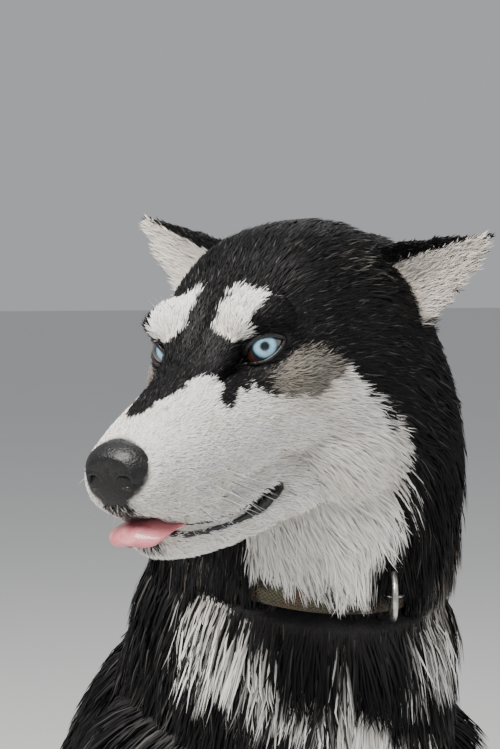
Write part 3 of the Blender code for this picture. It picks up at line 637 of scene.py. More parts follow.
def add_masses(bm):
    """The body, legs, tail, head and ears as overlapping masses."""
    left = Vector((1.0, 0.0, 0.0))
    loft(bm, TRUNK, left, 24)
    loft(bm, NECK, left, 20)
    loft(bm, TAIL, Vector((0.0, 0.0, 1.0)), 30)
    for side in (-1, 1):
        for rows in (FORELEG, THIGH, SHANK, METATARSUS):
            loft(bm, mirrored(rows, side), left, 18)
        for x, y, z in (FOREPAW, HINDPAW):
            ball(bm, (side * x, y, z), PAW_SIZE, BODY)
            for across, ahead in zip(TOE_ACROSS, TOE_AHEAD):
                ball(bm, (side * (x + across), y - ahead, z - 0.003), TOE_SIZE, BODY)
    right = Vector((-1.0, 0.0, 0.0))
    loft(bm, head_rows(SKULL), right, 30, HEAD, HEAD_POWER, HEAD_UNDERCOAT)
    loft(bm, head_rows(JAW), right, 20, HEAD, HEAD_POWER, HEAD_UNDERCOAT)
    for side in (-1, 1):
        for x, y, z, wide, long, high, coat in HEAD_PADS:
            coat *= HEAD_UNDERCOAT
            ball(bm, (side * x, y, z), (wide + coat, long + coat, high + coat), HEAD)
    add_ear(bm, "left")
    add_ear(bm, "right")


def eye_frame(side):
    """An eye's centre and axes: to the outer corner, up, and out between the lids."""
    gaze = Matrix.Rotation(side * math.radians(LID_GAZE), 3, "Z")
    rise = Matrix.Rotation(-math.radians(LID_RISE), 3, "X")
    slant = Matrix.Rotation(-side * math.radians(LID_SLANT), 3, "Y")
    turn = TURN @ gaze @ rise @ slant
    corner = turn @ Vector((side, 0.0, 0.0))
    up = turn @ Vector((0.0, 0.0, 1.0))
    out = turn @ Vector((0.0, -1.0, 0.0))
    return HEAD @ Vector((side * EYE_SPREAD, EYE_BACK, 0.0)), corner, up, out


def lid_radius(angles, grow=0.0):
    """How far the lids' edge is from the eye's axis, in metres, at each angle."""
    outline = spline(LID_OUTLINE, 120, closed=True) * MM
    at = np.arctan2(outline[:, 1], outline[:, 0])
    far = np.hypot(outline[:, 0], outline[:, 1]) + grow
    order = np.argsort(at)
    return np.interp(angles, at[order], far[order], period=2 * math.pi)


def lid_depth(distance):
    """How far out the lids' inner face lies at a distance from the eye's axis."""
    radius = EYE_RADIUS + LID_GAP
    return radius * np.sqrt(np.maximum(1.0 - (distance / radius) ** 2, 0.10))


def around_eye(points, side):
    """Points about one eye: across, up, out, and their distance as a share of the opening's."""
    centre, corner, up, out = (np.array(item) for item in eye_frame(side))
    offset = points - centre
    a, b, c = offset @ corner, offset @ up, offset @ out
    distance = np.hypot(a, b)
    return a, b, c, distance, distance / lid_radius(np.arctan2(b, a))


def shape_lids(points):
    """Draw the skin to the eyeballs, and sink it behind them between the lids."""
    points = points.copy()
    for side in (-1, 1):
        out = np.array(eye_frame(side)[3])
        _, _, c, distance, share = around_eye(points, side)
        near = (distance < LID_REACH) & (c > -0.004)
        target = lid_depth(distance) + LID_THICKNESS * fade(share, 0.9, 1.25)
        drawn = fall(share, 1.05, 2.1)
        move = (target - c) * drawn
        sunk = lid_depth(distance) - LID_SINK - c
        move = np.where(share < 0.97, sunk, move)
        points[near] += move[near, None] * out
    return points


def settle_mouth(skin):
    """The line between the lips on one side where it lies on the skin, in the head's frame."""
    tree = skin_tree(skin)
    rows = []
    for row in spline([(x, -ahead, z) for x, ahead, z in MOUTH], 24):
        spot = tree.find_nearest(HEAD @ Vector(row))[0]
        rows.append((HEAD.inverted() @ spot)[:])
    return np.array(rows)


def skin_tree(skin):
    """The skin for finding the nearest point on it."""
    return BVHTree.FromPolygons([vert.co[:] for vert in skin.data.vertices],
                                [face.vertices[:] for face in skin.data.polygons])


def mouth_gap(points):
    """Distance from the line between the lips, and the place along it from front to corner."""
    local = into(TO_HEAD, points)
    local[:, 0] = np.abs(local[:, 0])
    return to_line(local, SETTLED["mouth"])


def shape_mouth(points, normals):
    """A furrow along the line between the lips."""
    gap, _ = mouth_gap(points)
    return points - normals * (0.0030 * fall(gap, 0.0005, 0.0045))[:, None]


def shape_brow(points, normals):
    """A shallow furrow up the forehead from the stop."""
    local = into(TO_HEAD, points)
    rise = fade(local[:, 2], -0.004, 0.012) * fall(local[:, 2], 0.034, 0.05)
    front = fade(-local[:, 1], -0.03, -0.005)
    depth = 0.0022 * np.exp(-(local[:, 0] / 0.0045) ** 2) * rise * front
    return points - normals * depth[:, None]


def by_collar(points):
    """Points in the collar's frame, and how far out they are as a share of the band's size."""
    local = into(TO_COLLAR, points)
    return local, np.hypot(local[:, 0] / COLLAR_HALF_WIDTH, local[:, 1] / COLLAR_HALF_DEPTH)


def clear_collar(points):
    """Press the skin in under the collar."""
    local, reach = by_collar(points)
    edge, end = (COLLAR_HEIGHT / 2 + away for away in GROOVE_EDGE)
    close = fall(np.abs(local[:, 2]), edge, end)
    pressed = (reach > GROOVE_REACH) & (reach < 1.5)
    shrink = np.where(pressed, GROOVE_REACH / np.maximum(reach, 1e-9), 1.0)
    local[:, :2] *= (1.0 - close * (1.0 - shrink))[:, None]
    return into(np.array(COLLAR), local)


def weigh(obj, name, weights):
    """A vertex group with a weight for each point."""
    group = obj.vertex_groups.new(name=name)
    for index, weight in enumerate(weights.tolist()):
        if weight > 0.0:
            group.add([index], weight, "REPLACE")
    return name


def relax(skin, name, steps):
    """A modifier that smooths the skin."""
    smooth = skin.modifiers.new(name, "SMOOTH")
    smooth.factor = 0.5
    smooth.iterations = steps
    return smooth


def from_eyes(points):
    """Distance from the middle of the eyes."""
    return np.linalg.norm(points - MID_EYE_ARRAY, axis=1)


def make_skin():
    """The whole skin in one piece."""
    bm = bmesh.new()
    add_masses(bm)
    skin = new_object("skin", bm)
    fuse = skin.modifiers.new("fuse", "REMESH")
    fuse.mode = "VOXEL"
    fuse.voxel_size = VOXEL
    relax(skin, "round", SMOOTH_STEPS)
    bake(skin)
    points, _ = read(skin.data)
    soft = fade(from_eyes(points), 0.085, 0.135) * fade(points[:, 2], 0.08, 0.18)
    relax(skin, "blend", BLEND_STEPS).vertex_group = weigh(skin, "soft", soft)
    bake(skin)
    SETTLED["mouth"] = settle_mouth(skin)
    points, normals = read(skin.data)
    points = shape_mouth(shape_brow(points, normals), normals)
    points = clear_collar(shape_lids(points))
    points[:, 2] = np.maximum(points[:, 2], LOWEST_SKIN)
    fill(skin.data.vertices, "co", points)
    skin.data.update()
    skin.data.calc_loop_triangles()
    thin = skin.modifiers.new("thin", "DECIMATE")
    thin.ratio = SKIN_TRIANGLES / len(skin.data.loop_triangles)
    thin.vertex_group = weigh(skin, "coarse", 0.25 + 0.75 * fade(from_eyes(points), 0.09, 0.16))
    bake(skin)
    skin.data.shade_smooth()
    return skin


def unwrap(obj):
    """Unwrap the skin by its own shape."""
    obj.data.uv_layers.new(name="OFBake")
    bpy.context.view_layer.objects.active = obj
    obj.select_set(True)
    bpy.ops.object.mode_set(mode="EDIT")
    bpy.ops.mesh.select_all(action="SELECT")
    bpy.ops.uv.smart_project(angle_limit=math.radians(66), island_margin=0.001)
    bpy.ops.object.mode_set(mode="OBJECT")
    obj.select_set(False)


def wobble(points, size, seed):
    """A smooth pattern of waves between about -1 and 1, with lumps of the given size."""
    waves = np.random.default_rng(seed)
    total = np.zeros(len(points))
    for _ in range(5):
        way = waves.normal(size=3)
        way *= waves.uniform(0.7, 1.5) * 2 * math.pi / size / np.linalg.norm(way)
        total += np.sin(points @ way + waves.uniform(0, 2 * math.pi))
    return total / 2.6


def ragged(points, waves):
    """How far the edge of a marking strays at each point."""
    return sum(wobble(points, size, seed) * depth for size, seed, depth in waves)


def close_to(points, middle, start, end):
    """1 near a middle, 0 far from it."""
    return fall(np.linalg.norm(points - np.array(middle), axis=1), start, end)


def to_line(points, line):
    """Distance from each point to a broken line, and how far along it that is, from 0 to 1."""
    line = np.array(line, float)
    best = np.full(len(points), 1e9)
    along = np.zeros(len(points))
    for index in range(len(line) - 1):
        start, way = line[index], line[index + 1] - line[index]
        share = np.clip(((points - start) @ way) / (way @ way), 0.0, 1.0)
        gap = np.linalg.norm(points - start - share[:, None] * way, axis=1)
        closer = gap < best
        best[closer] = gap[closer]
        along[closer] = (index + share[closer]) / (len(line) - 1)
    return best, along


def face_marks(local):
    """White, tan and grey of the head. The grey also holds the painted sheen before the ear."""
    x, ahead, z = local[:, 0], -local[:, 1], local[:, 2]
    side = np.abs(x)
    edge = ragged(local, FACE_EDGE)
    round_to = ROUND_WAY[0] * side + ROUND_WAY[1] * ahead
    stripe = np.interp(ahead, *np.array(STRIPE).T)
    below = fall(z - np.interp(ahead, *np.array(WHITE_TOP).T) + edge, -0.003, 0.003)
    beside = fade(np.abs(x + STRIPE_TO_RIGHT) - stripe + edge * 0.7, -0.0015, 0.0020)
    white = fall(round_to - np.interp(z, *np.array(WHITE_REAR).T) + edge * 2, -0.004, 0.004) * below
    muzzle = fade(ahead, 0.026, 0.036) * beside * fade(z, -0.115, -0.110)
    muzzle *= 1.0 - (1.0 - below) * fall(ahead, 0.044, 0.056)
    white = np.maximum(white, muzzle) * np.where(ahead > 0.0, beside, 1.0)
    spot = np.stack([side - BROW_SPOT[0], z - BROW_SPOT[1]], 1) @ np.array([[0.94, 0.34], [-0.34, 0.94]])
    brow = np.hypot(*spot.T) / BROW_SPOT[2] + edge * 60
    white = np.maximum(white, fall(brow, 0.80, 1.15) * fade(ahead + edge, -0.009, -0.002))
    tear, _ = to_line(np.stack([side, ahead, z], 1), TEAR_MARK)
    white *= fade(tear + edge * 0.5, 0.0032, 0.0056)
    raised = np.stack([side, local[:, 1], z * 1.2], 1)
    grey = 0.90 * close_to(raised, UNDER_EYE, 0.012, 0.027)
    # Painted sheen: paler grey hair before the ear that stands for a highlight on the black coat
    sheen = 0.12 * close_to(raised, SHEEN_BEFORE_EAR, 0.006, 0.024)
    cheek = fade(wobble(local, 0.030, 5) + 18 * (side - 0.05), -0.2, 1.0)
    tan = 0.75 * grey + 0.45 * cheek * white
    white *= 1.0 - fade(-z, 0.080, 0.095) * fade(-x, 0.006, 0.018) * fall(ahead, 0.030, 0.050)
    for sign in (-1, 1):
        _, _, _, distance, share = around_eye(MID_EYE_ARRAY + local @ TURN_ARRAY.T, sign)
        rim = np.where(distance < 0.03, fall(share + edge * 60, 1.35, 1.80), 0.0)
        for values in (white, grey, tan):
            values *= 1.0 - rim
    white *= 1.0 - 0.85 * freckles(local)
    return np.stack([white, tan, np.maximum(grey, sheen)], 1)


def freckles(local):
    """Dark dots at the whiskers' roots, and the dark front of the upper lip."""
    side, ahead, z = np.abs(local[:, 0]), -local[:, 1], local[:, 2]
    dots = np.zeros(len(local))
    for row in range(5):
        for column in range(6):
            at = (0.082 - 0.0062 * column - 0.0022 * row, -0.040 - 0.0055 * row - 0.0008 * column)
            gap = np.hypot(ahead - at[0], z - at[1])
            dots = np.maximum(dots, 0.5 * fall(gap, 0.0004, 0.0011) * (side > 0.010))
    front = fade(ahead, 0.084, 0.092) * fall(side, 0.006, 0.014) * (z < -0.045)
    return np.maximum(dots, 0.8 * front)


def ear_marks(points, normals):
    """How much each point is part of an ear, of its inside, and how near its rim or tip."""
    local = into(TO_HEAD, points)
    local_normals = normals @ TURN_ARRAY
    ear = np.zeros(len(points))
    inside = np.zeros(len(points))
    rim = np.zeros(len(points))
    for word in SIDES:
        base, across, along, opens = (np.array(item) for item in ear_axes(word))
        offset = local - base
        u, v, w = offset @ across, offset @ along, offset @ opens
        rise = np.clip(v / EAR_LENGTH, 0.0, 1.0)
        width = ear_width(rise)
        part = fade(v, 0.002, 0.012) * fall(np.abs(w - EAR_CUP * u * u / width), 0.008, 0.012)
        part *= (np.abs(u) < width + 0.006) * (v < EAR_LENGTH + 0.006)
        facing = fade(local_normals @ opens, -0.15, 0.30)
        upper = -u if across[2] < 0 else u
        edge = np.maximum(fade(upper / width, 0.30, 0.54), fade(rise, 0.84, 0.95))
        edge = np.maximum(edge, 0.6 * fade(np.abs(u) / width, 0.86, 1.00))
        ear = np.maximum(ear, part)
        inside = np.maximum(inside, part * facing)
        rim = np.maximum(rim, part * edge)
    return ear, inside, rim


def body_marks(points, normals):
    """White, tan and grey of the neck, trunk, legs and tail."""
    local = into(TO_BODY, points)
    x, y, z = local.T
    side = np.abs(x)
    edge = ragged(local, BODY_EDGE)
    flat = np.stack([x, z], 1)
    chest = fall(z + 0.40 * side + edge, 0.478, 0.494) * fade(z, 0.20, 0.24) * fall(side, 0.062, 0.078)
    for line, start, end, amount in BANDS:
        gap, along = to_line(flat, line)
        width = start + (end - start) * along
        chest = np.maximum(chest, amount * fall(gap - width + edge * 0.5, -0.004, 0.004))
    patch, _ = to_line(flat, DARK_PATCH)
    chest *= fade(-normals[:, 1], 0.05, 0.35) * fade(patch + edge * 0.5, 0.012, 0.020)
    belly = fade(-normals[:, 2] * 0.8 - normals[:, 1] * 0.6, 0.30, 0.55) * fall(side, 0.06, 0.09)
    belly *= fall(z, 0.42, 0.45)
    legs = fall(z + edge, 0.225, 0.255) * fall(y, 0.005, 0.025)
    hind = fall(z + edge * 0.6, 0.085, 0.105) * fall(y, 0.20, 0.24)
    inner = fade(-normals[:, 0] * np.sign(x), 0.10, 0.45) * fall(z, 0.22, 0.27) * (y < 0.24)
    under_tail = fade(y, 0.26, 0.30) * fade(-normals[:, 2], 0.05, 0.35)
    heights, start, end = np.array(THROAT).T
    turn = np.degrees(np.arctan2(x + 0.005, -(y + 0.090))) + edge * 450
    throat = fade(turn - np.interp(z, heights, start), -4, 4) * fall(turn - np.interp(z, heights, end), -4, 4)
    throat *= fade(z + edge * 0.5, 0.545, 0.553)
    white = np.maximum.reduce([chest, belly, legs, hind, inner, under_tail, throat])
    grey = 0.45 * close_to(local, NECK_SIDE, 0.022, 0.055)
    nape = 0.16 * fade(normals[:, 1], 0.1, 0.6) * fade(z, 0.52, 0.60)
    flank = 0.10 * fall(z, 0.24, 0.40) * (1.0 - white)
    return np.stack([white, np.maximum.reduce([0.98 * grey, nape, flank]), grey], 1)


def headness(points):
    """How much each point belongs to the head, not the neck."""
    gap, _ = to_line(into(TO_HEAD, points), HEAD_AXIS)
    return fall(gap, *HEAD_REACH)


def marks(points, normals):
    """White, tan and grey of the coat, and how much each point belongs to the head and an ear."""
    local = into(TO_HEAD, points)
    head = headness(points)
    ear, inside, rim = ear_marks(points, normals)
    rim = rim * (local[:, 2] > 0.0)
    ear_white = 0.95 * inside * (1.0 - 0.95 * rim)
    ear_coat = np.stack([ear_white, 0.55 * inside * (1.0 - rim), np.zeros(len(points))], 1)
    share = head[:, None]
    coat = body_marks(points, normals) * (1.0 - share) + face_marks(local) * share
    return coat * (1.0 - ear)[:, None] + ear_coat * ear[:, None], head, ear


def mixed(points, guides, near):
    """Values of the guides at each point, each guide weighing more the nearer it is."""
    places = np.array([guide[0] for guide in guides])
    radii = np.array([guide[1] for guide in guides])
    values = np.array([guide[2] for guide in guides])
    out = np.empty((len(points), values.shape[1]))
    for start in range(0, len(points), CHUNK):
        chunk = points[start:start + CHUNK]
        gaps = np.linalg.norm(chunk[:, None, :] - places[None], axis=2) - radii
        weights = 1.0 / (np.maximum(gaps, 0.0) + near) ** GUIDE_POWER
        weights /= weights.sum(axis=1, keepdims=True)
        out[start:start + CHUNK] = weights @ values
    return out


def head_guides():
    """The coat of the head as guides in the head's frame."""
    guides = []
    for (x, ahead, z), (across, forward, up), length, lift, width, tufts in HEAD_COAT:
        for side in (-1, 1):
            way = unit(np.array([side * across, -forward, up]))
            guides.append(((side * x, -ahead, z), 0.0, (*way, length, lift, width, tufts)))
    return guides


def path_guides(rows, coats, backwards=False):
    """The coat along a limb or trunk as guides: hair lies the way the limb runs."""
    rows = rows[::-1] if backwards else rows
    coats = coats if isinstance(coats[0], tuple) else (coats, coats)
    path = spline(rows, 2 * len(rows))
    guides = []
    for index, row in enumerate(path):
        ahead = path[min(index + 1, len(path) - 1)][:3] - path[max(index - 1, 0)][:3]
        share = index / (len(path) - 1)
        coat = np.array(coats[0]) * (1.0 - share) + np.array(coats[1]) * share
        radius = (row[3] + row[4]) / 2 + UNDERCOAT * row[5]
        guides.append((tuple(row[:3]), radius, (*unit(ahead), *coat)))
    return guides


def body_guides():
    """The coat of the neck, trunk, legs and tail as guides in the body's frame."""
    guides = path_guides(NECK, BODY_COAT["neck"], backwards=True)
    guides += path_guides(TRUNK, BODY_COAT["trunk"])
    guides += path_guides(TAIL, BODY_COAT["tail"])
    for side in (-1, 1):
        for name, rows in (("foreleg", FORELEG), ("thigh", THIGH), ("shank", SHANK),
                           ("metatarsus", METATARSUS)):
            guides += path_guides(mirrored(rows, side), BODY_COAT[name])
        for x, y, z in (FOREPAW, HINDPAW):
            guides.append(((side * x, y - 0.02, z), 0.028, (0.0, -0.95, -0.3, 5.0, 14, 0.75, 0.9)))
    return guides


def coat_plan(points, normals):
    """At each point of the skin: the hair's way, length, lift, width and number of tufts."""
    local = into(TO_HEAD, points)
    face = mixed(local, head_guides(), HEAD_GUIDE_REACH)
    face[:, :3] = face[:, :3] @ TURN_ARRAY.T
    body = mixed(into(TO_BODY, points), body_guides(), BODY_GUIDE_REACH)
    body[:, 2] -= 0.35 * (points[:, 2] > 0.12)
    share = 1.0 - headness(points)[:, None]
    plan = face * (1.0 - share) + body * share
    ear, inside, rim = ear_marks(points, normals)
    for word in SIDES:
        _, _, along, opens = (TURN_ARRAY @ np.array(item) for item in ear_axes(word))
        mine = ear * (local[:, 0] * SIDES[word] > 0)
        outside = np.array([*(along - 0.1 * opens), *EAR_OUTSIDE])
        within = np.array([*(along * 0.9 + opens * 0.20), *EAR_INSIDE])
        value = outside * (1.0 - inside)[:, None] + within * inside[:, None]
        value[:, 3] *= 1.0 - 0.60 * rim
        plan = plan * (1.0 - mine)[:, None] + value * mine[:, None]
    way = plan[:, :3] - normals * np.sum(plan[:, :3] * normals, axis=1, keepdims=True)
    plan[:, :3] = unit(way)
    return plan


def bare(points):
    """1 where no hair grows: between the lids, on the nose and lips, and under the paws."""
    local = into(TO_HEAD, points)
    none = np.zeros(len(points))
    for side in (-1, 1):
        a, _, c, distance, share = around_eye(points, side)
        inner = fade(-a, 0.002, 0.010)
        none = np.maximum(none, fall(share - 0.16 * inner, 1.10, 1.24) * (distance < 0.03)
                          * (c > -0.004))
    from_nose = np.linalg.norm((local - np.array(NOSE_CENTRE)) / np.array(NOSE_SIZE), axis=1)
    none = np.maximum(none, fall(from_nose, 1.02, 1.10))
    gap, along = mouth_gap(points - TURN_ARRAY @ [0.0, 0.0, -0.0012])
    none = np.maximum(none, fall(gap - 0.0022 * fade(along, 0.55, 0.85), 0.0017, 0.0024))
    none = np.maximum(none, fall(points[:, 2], 0.003, 0.006))
    return none


def surface(skin):
    """The skin as arrays: points, normals, triangles, their areas and their places unwrapped."""
    mesh = skin.data
    points, normals = read(mesh)
    mesh.calc_loop_triangles()
    triangles = fetch(mesh.loop_triangles, "vertices", 3, np.int32)
    loops = fetch(mesh.loop_triangles, "loops", 3, np.int32)
    a, b, c = (points[triangles[:, k]] for k in range(3))
    areas = np.linalg.norm(np.cross(b - a, c - a), axis=1) / 2
    return points, normals, triangles, areas, fetch(mesh.uv_layers["OFBake"].data, "uv", 2)[loops]


def beside_collar(root, normal):
    """The normals by the collar as they would be without the groove under its band."""
    local, reach = by_collar(root)
    out = np.zeros_like(root)
    out[:, :2] = local[:, :2] / np.array([COLLAR_HALF_WIDTH, COLLAR_HALF_DEPTH]) ** 2
    out = unit(out @ np.array(COLLAR)[:3, :3].T)
    near = fall(np.abs(local[:, 2]), COLLAR_HEIGHT / 2 + 0.006, COLLAR_HEIGHT / 2 + 0.012)
    near *= reach < 1.35
    return unit(normal * (1.0 - near)[:, None] + out * near[:, None])


def scatter(skin):
    """Roots over the skin, each with what the coat's plan says there."""
    points, normals, triangles, areas, places = surface(skin)
    plan = coat_plan(points, normals)
    head = headness(points)
    plan[:, 5] *= BODY_WIDENING + (1.0 - BODY_WIDENING) * head
    share = BODY_SHARE + (HEAD_SHARE - BODY_SHARE) * head
    tufts = plan[:, 6] * 1e6 * (1.0 - bare(points)) * share
    weights = areas * tufts[triangles].mean(axis=1)
    total = weights.cumsum()
    count = int(total[-1])
    chosen = np.searchsorted(total, RNG.random(count) * total[-1])
    first, second = RNG.random((2, count))
    flip = first + second > 1.0
    first[flip], second[flip] = 1.0 - first[flip], 1.0 - second[flip]
    mix = np.stack([1.0 - first - second, first, second], 1)
    spot = triangles[chosen]
    root = np.einsum("ij,ijk->ik", mix, points[spot])
    normal = beside_collar(root, unit(np.einsum("ij,ijk->ik", mix, normals[spot])))
    values = np.einsum("ij,ijk->ik", mix, plan[spot])
    values[:, :3] -= normal * np.einsum("ij,ij->i", values[:, :3], normal)[:, None]
    place = np.einsum("ij,ijk->ik", mix, places[chosen])
    keep = RNG.random(count) > bare(root)
    return root[keep], normal[keep], values[keep], place[keep]


def clumps(root, length):
    """The hair that each hair leans to, in locks, and how much its tip does."""
    count = len(root)
    seeds = RNG.choice(count, max(count // 22, 1), replace=False)
    tree = kdtree.KDTree(len(seeds))
    for index, seed in enumerate(seeds.tolist()):
        tree.insert(Vector(root[seed]), index)
    tree.balance()
    nearest = np.fromiter((tree.find(Vector(point))[1] for point in root), np.int64, count)
    lock = seeds[nearest]
    gap = np.linalg.norm(root - root[lock], axis=1)
    amount = 0.55 * fade(length, 6.0, 22.0) * fall(gap / (length * MM), 0.45, 0.9)
    return lock, amount


def strands(root, normal, values):
    """The middle line of each tuft at a few steps, its width and its crosswise direction."""
    count = len(root)
    way = unit(values[:, :3])
    across = unit(np.cross(way, normal))
    length = values[:, 3] * RNG.uniform(0.72, 1.25, count)
    lift = np.radians(values[:, 4] * RNG.uniform(0.6, 1.5, count))
    sideways = np.radians(RNG.normal(0.0, 1.0, count) * (7.0 + 6.0 * (values[:, 3] < 8.0)))
    way = unit(way * np.cos(sideways)[:, None] + across * np.sin(sideways)[:, None])
    across = unit(np.cross(way, normal))
    curl = RNG.normal(0.0, 0.10, count)
    reach = length * MM
    lines = []
    for t in HAIR_STEPS:
        rise = np.sin(lift) * (t - 0.42 * t * t)
        ahead = np.cos(lift) * t
        line = root + way * (reach * ahead)[:, None] + normal * (reach * rise)[:, None]
        line = line + across * (reach * curl * t * t)[:, None]
        line[:, 2] -= reach * 0.10 * t * t * fade(length, 10.0, 30.0)
        lines.append(line)
    lock, amount = clumps(root, length)
    for index, t in enumerate(HAIR_STEPS[1:], 1):
        share = (amount * t ** 1.6)[:, None]
        lines[index] = lines[index] * (1.0 - share) + lines[index][lock] * share
    roll = RNG.normal(0.0, 0.45, count)
    flat = unit(across * np.cos(roll)[:, None] + normal * np.sin(roll)[:, None])
    width = values[:, 5] * MM * RNG.uniform(0.75, 1.25, count)
    return lines, flat, width


def hair_normals(lines, flat, normal, each):
    """Normals of a tuft's points: mostly the skin's, a little the tuft's own."""
    own = unit(np.cross(flat, unit(lines[-1] - lines[0])))
    own *= np.sign(np.sum(own * normal, axis=1, keepdims=True) + 1e-9)
    return np.repeat(unit(0.5 * normal + 0.5 * own), each, axis=0)


def build_tufts(name, lines, flat, width, normal, place, colour, chance, long):
    """One coat piece: a tapering blade for each hair, bent once, or twice where it is long."""
    count = len(width)
    levels = ((lines[0], 0.75, 0.0), ((lines[1] + lines[2]) / 2, 1.0, 0.54))
    if long:
        levels = ((lines[0], 0.65, 0.0), (lines[1], 1.0, 0.36), (lines[2], 0.70, 0.72))
    rows = []
    heights = []
    offsets = []
    faces = []
    for line, share, t in levels:
        corner = len(rows)
        half = flat * (width * share / 2)[:, None]
        rows += [line - half, line + half]
        heights += [t, t]
        offsets += [(across, UV_PATCH * t - UV_PATCH / 2) for across in (-UV_PATCH / 2, UV_PATCH / 2)]
        faces.append((corner, corner + 1, corner + 3, corner + 2))
    rows.append(lines[3])
    heights.append(1.0)
    offsets.append((0.0, UV_PATCH / 2))
    faces[-1] = faces[-1][:2] + (corner + 2,)
    each = len(rows)
    points = np.stack(rows, 1).reshape(-1, 3)
    points[:, 2] = np.maximum(points[:, 2], LOWEST_HAIR)
    pattern = np.array([corner for face in faces for corner in face])
    totals = np.tile([len(face) for face in faces], count)
    mesh = bpy.data.meshes.new(name)
    mesh.vertices.add(len(points))
    mesh.loops.add(len(pattern) * count)
    mesh.polygons.add(len(totals))
    fill(mesh.vertices, "co", points)
    fill(mesh.loops, "vertex_index", np.arange(count)[:, None] * each + pattern, np.int32)
    fill(mesh.polygons, "loop_start", np.concatenate([[0], totals.cumsum()[:-1]]), np.int32)
    mesh.update(calc_edges=True)
    mesh.shade_smooth()
    fill(mesh.uv_layers.new(name="OFBake").data, "uv", place[:, None, :] + np.array(offsets)[pattern])
    paint(mesh, np.repeat(colour, each, axis=0))
    strand = np.stack([np.tile(heights, count), np.repeat(chance, each), np.zeros(count * each)], 1)
    fill(mesh.attributes.new("strand", "FLOAT_VECTOR", "POINT").data, "vector", strand)
    mesh.normals_split_custom_set_from_vertices(hair_normals(lines, flat, normal, each).tolist())
    return add_object(name, mesh)


def trim_at_collar(lines):
    """Shorten the hair over the part of the collar that shows and over the ring, and lay the rest
    outside the band. Returns which hairs grow under the band itself."""
    root, tip = into(TO_COLLAR, lines[0]), into(TO_COLLAR, lines[-1])
    turn = np.degrees(np.arctan2(tip[:, 0], -tip[:, 1]))
    ring_gap = 1.3 * np.exp(-((turn - RING_ANGLE) / 4.0) ** 2)
    window = np.maximum(fade(turn, *COLLAR_WINDOW[:2]) * fall(turn, *COLLAR_WINDOW[2:]), ring_gap)
    limit = 0.002 - 0.006 * window + 0.006 * ring_gap - RNG.random(len(root)) * 0.008
    keep = np.clip((root[:, 2] - limit) / np.maximum(root[:, 2] - tip[:, 2], 1e-6), 0.12, 1.0)
    keep[(root[:, 2] < 0.0) | (window < 0.05) | (tip[:, 2] > limit)] = 1.0
    for line in lines[1:]:
        line[:] = lines[0] + (line - lines[0]) * keep[:, None]
        local, proud = by_collar(line)
        under = (np.abs(local[:, 2]) < 0.018) & (root[:, 2] > 0.0) & (window < 0.3)
        push = np.where(under, np.clip(1.05 - proud, 0.0, 0.25), 0.0)
        line += (local * [1.0, 1.0, 0.0] * push[:, None]) @ TO_COLLAR[:3, :3]
    return (np.abs(root[:, 2]) < COLLAR_HEIGHT / 2) & (RNG.random(len(root)) < 0.1 + window)


def coat_regions(root, head, ear, long):
    """Which piece of the coat each root belongs to."""
    local = into(TO_HEAD, root)
    body = into(TO_BODY, root)
    region = np.full(len(root), "coat_trunk", dtype="<U24")
    region[body[:, 1] < 0.02] = "coat_chest"
    region[body[:, 2] > 0.50] = "coat_neck"
    region[(body[:, 2] < 0.235) & (body[:, 1] < 0.02)] = "coat_forelegs"
    region[(body[:, 2] < 0.235) & (body[:, 1] >= 0.02)] = "coat_rump"
    region[body[:, 1] > 0.29] = "coat_tail"
    on_head = head > 0.5
    region[on_head] = "coat_crown"
    region[on_head & (local[:, 2] < 0.0)] = "coat_cheeks"
    region[on_head & (local[:, 1] < 0.006)] = "coat_face"
    region[on_head & (local[:, 1] < -0.034)] = "coat_muzzle"
    region[ear > 0.5] = "coat_ears"
    return np.char.add(region, np.where(long, "_long", "_short"))


def make_coat(skin, material):
    """The coat over the skin, in pieces by region."""
    root, normal, values, place = scatter(skin)
    colour, head, ear = marks(root, normal)
    chance = RNG.random(len(root))
    lines, flat, width = strands(root, normal, values)
    region = coat_regions(root, head, ear, values[:, 3] > LONG_HAIR)
    region[trim_at_collar(lines)] = ""
    for name in sorted(set(region) - {""}):
        here = np.where(region == name)[0]
        long = name.endswith("_long")
        limit = PIECE_TRIANGLES // (5 if long else 3)
        parts = np.array_split(here, max(1, math.ceil(len(here) / limit)))
        for number, part in enumerate(parts, 1):
            tufts = build_tufts("%s_%d" % (name, number), [line[part] for line in lines], flat[part],
                                width[part], normal[part], place[part], colour[part], chance[part], long)
            piece(tufts, "black_coat", material)


def paint(mesh, colour, bareness=1.0):
    """Give a mesh's points the coat's markings, and how bare the skin is as the fourth value."""
    values = np.empty((len(colour), 4))
    values[:, :3] = colour
    values[:, 3] = bareness
    fill(mesh.attributes.new("marks", "FLOAT_COLOR", "POINT").data, "color", values)


def join(tree, socket, value):
    """Set a socket, or link it."""
    if isinstance(value, bpy.types.NodeSocket):
        tree.links.new(value, socket)
    else:
        socket.default_value = value


def add_node(tree, kind, values=None, **settings):
    """A shader node with its settings, and its sockets set or linked by name."""
    made = tree.nodes.new(kind)
    for key, value in settings.items():
        setattr(made, key, value)
    for key, value in (values or {}).items():
        join(tree, made.inputs[key], value)
    return made


def maths(tree, what, *values):
    """One step of arithmetic."""
    made = add_node(tree, "ShaderNodeMath", operation=what)
    for socket, value in zip(made.inputs, values):
        join(tree, socket, value)
    return made.outputs[0]


def vector_maths(tree, what, *values, **named):
    """One step of arithmetic with vectors."""
    made = add_node(tree, "ShaderNodeVectorMath", named, operation=what)
    for socket, value in zip(made.inputs, values):
        join(tree, socket, value)
    return made.outputs


def mixed_colour(tree, share, first, second, blend="MIX"):
    """One colour turning into another."""
    made = add_node(tree, "ShaderNodeMix", data_type="RGBA", blend_type=blend)
    join(tree, made.inputs[0], share)
    join(tree, made.inputs[6], first)
    join(tree, made.inputs[7], second)
    return made.outputs[2]


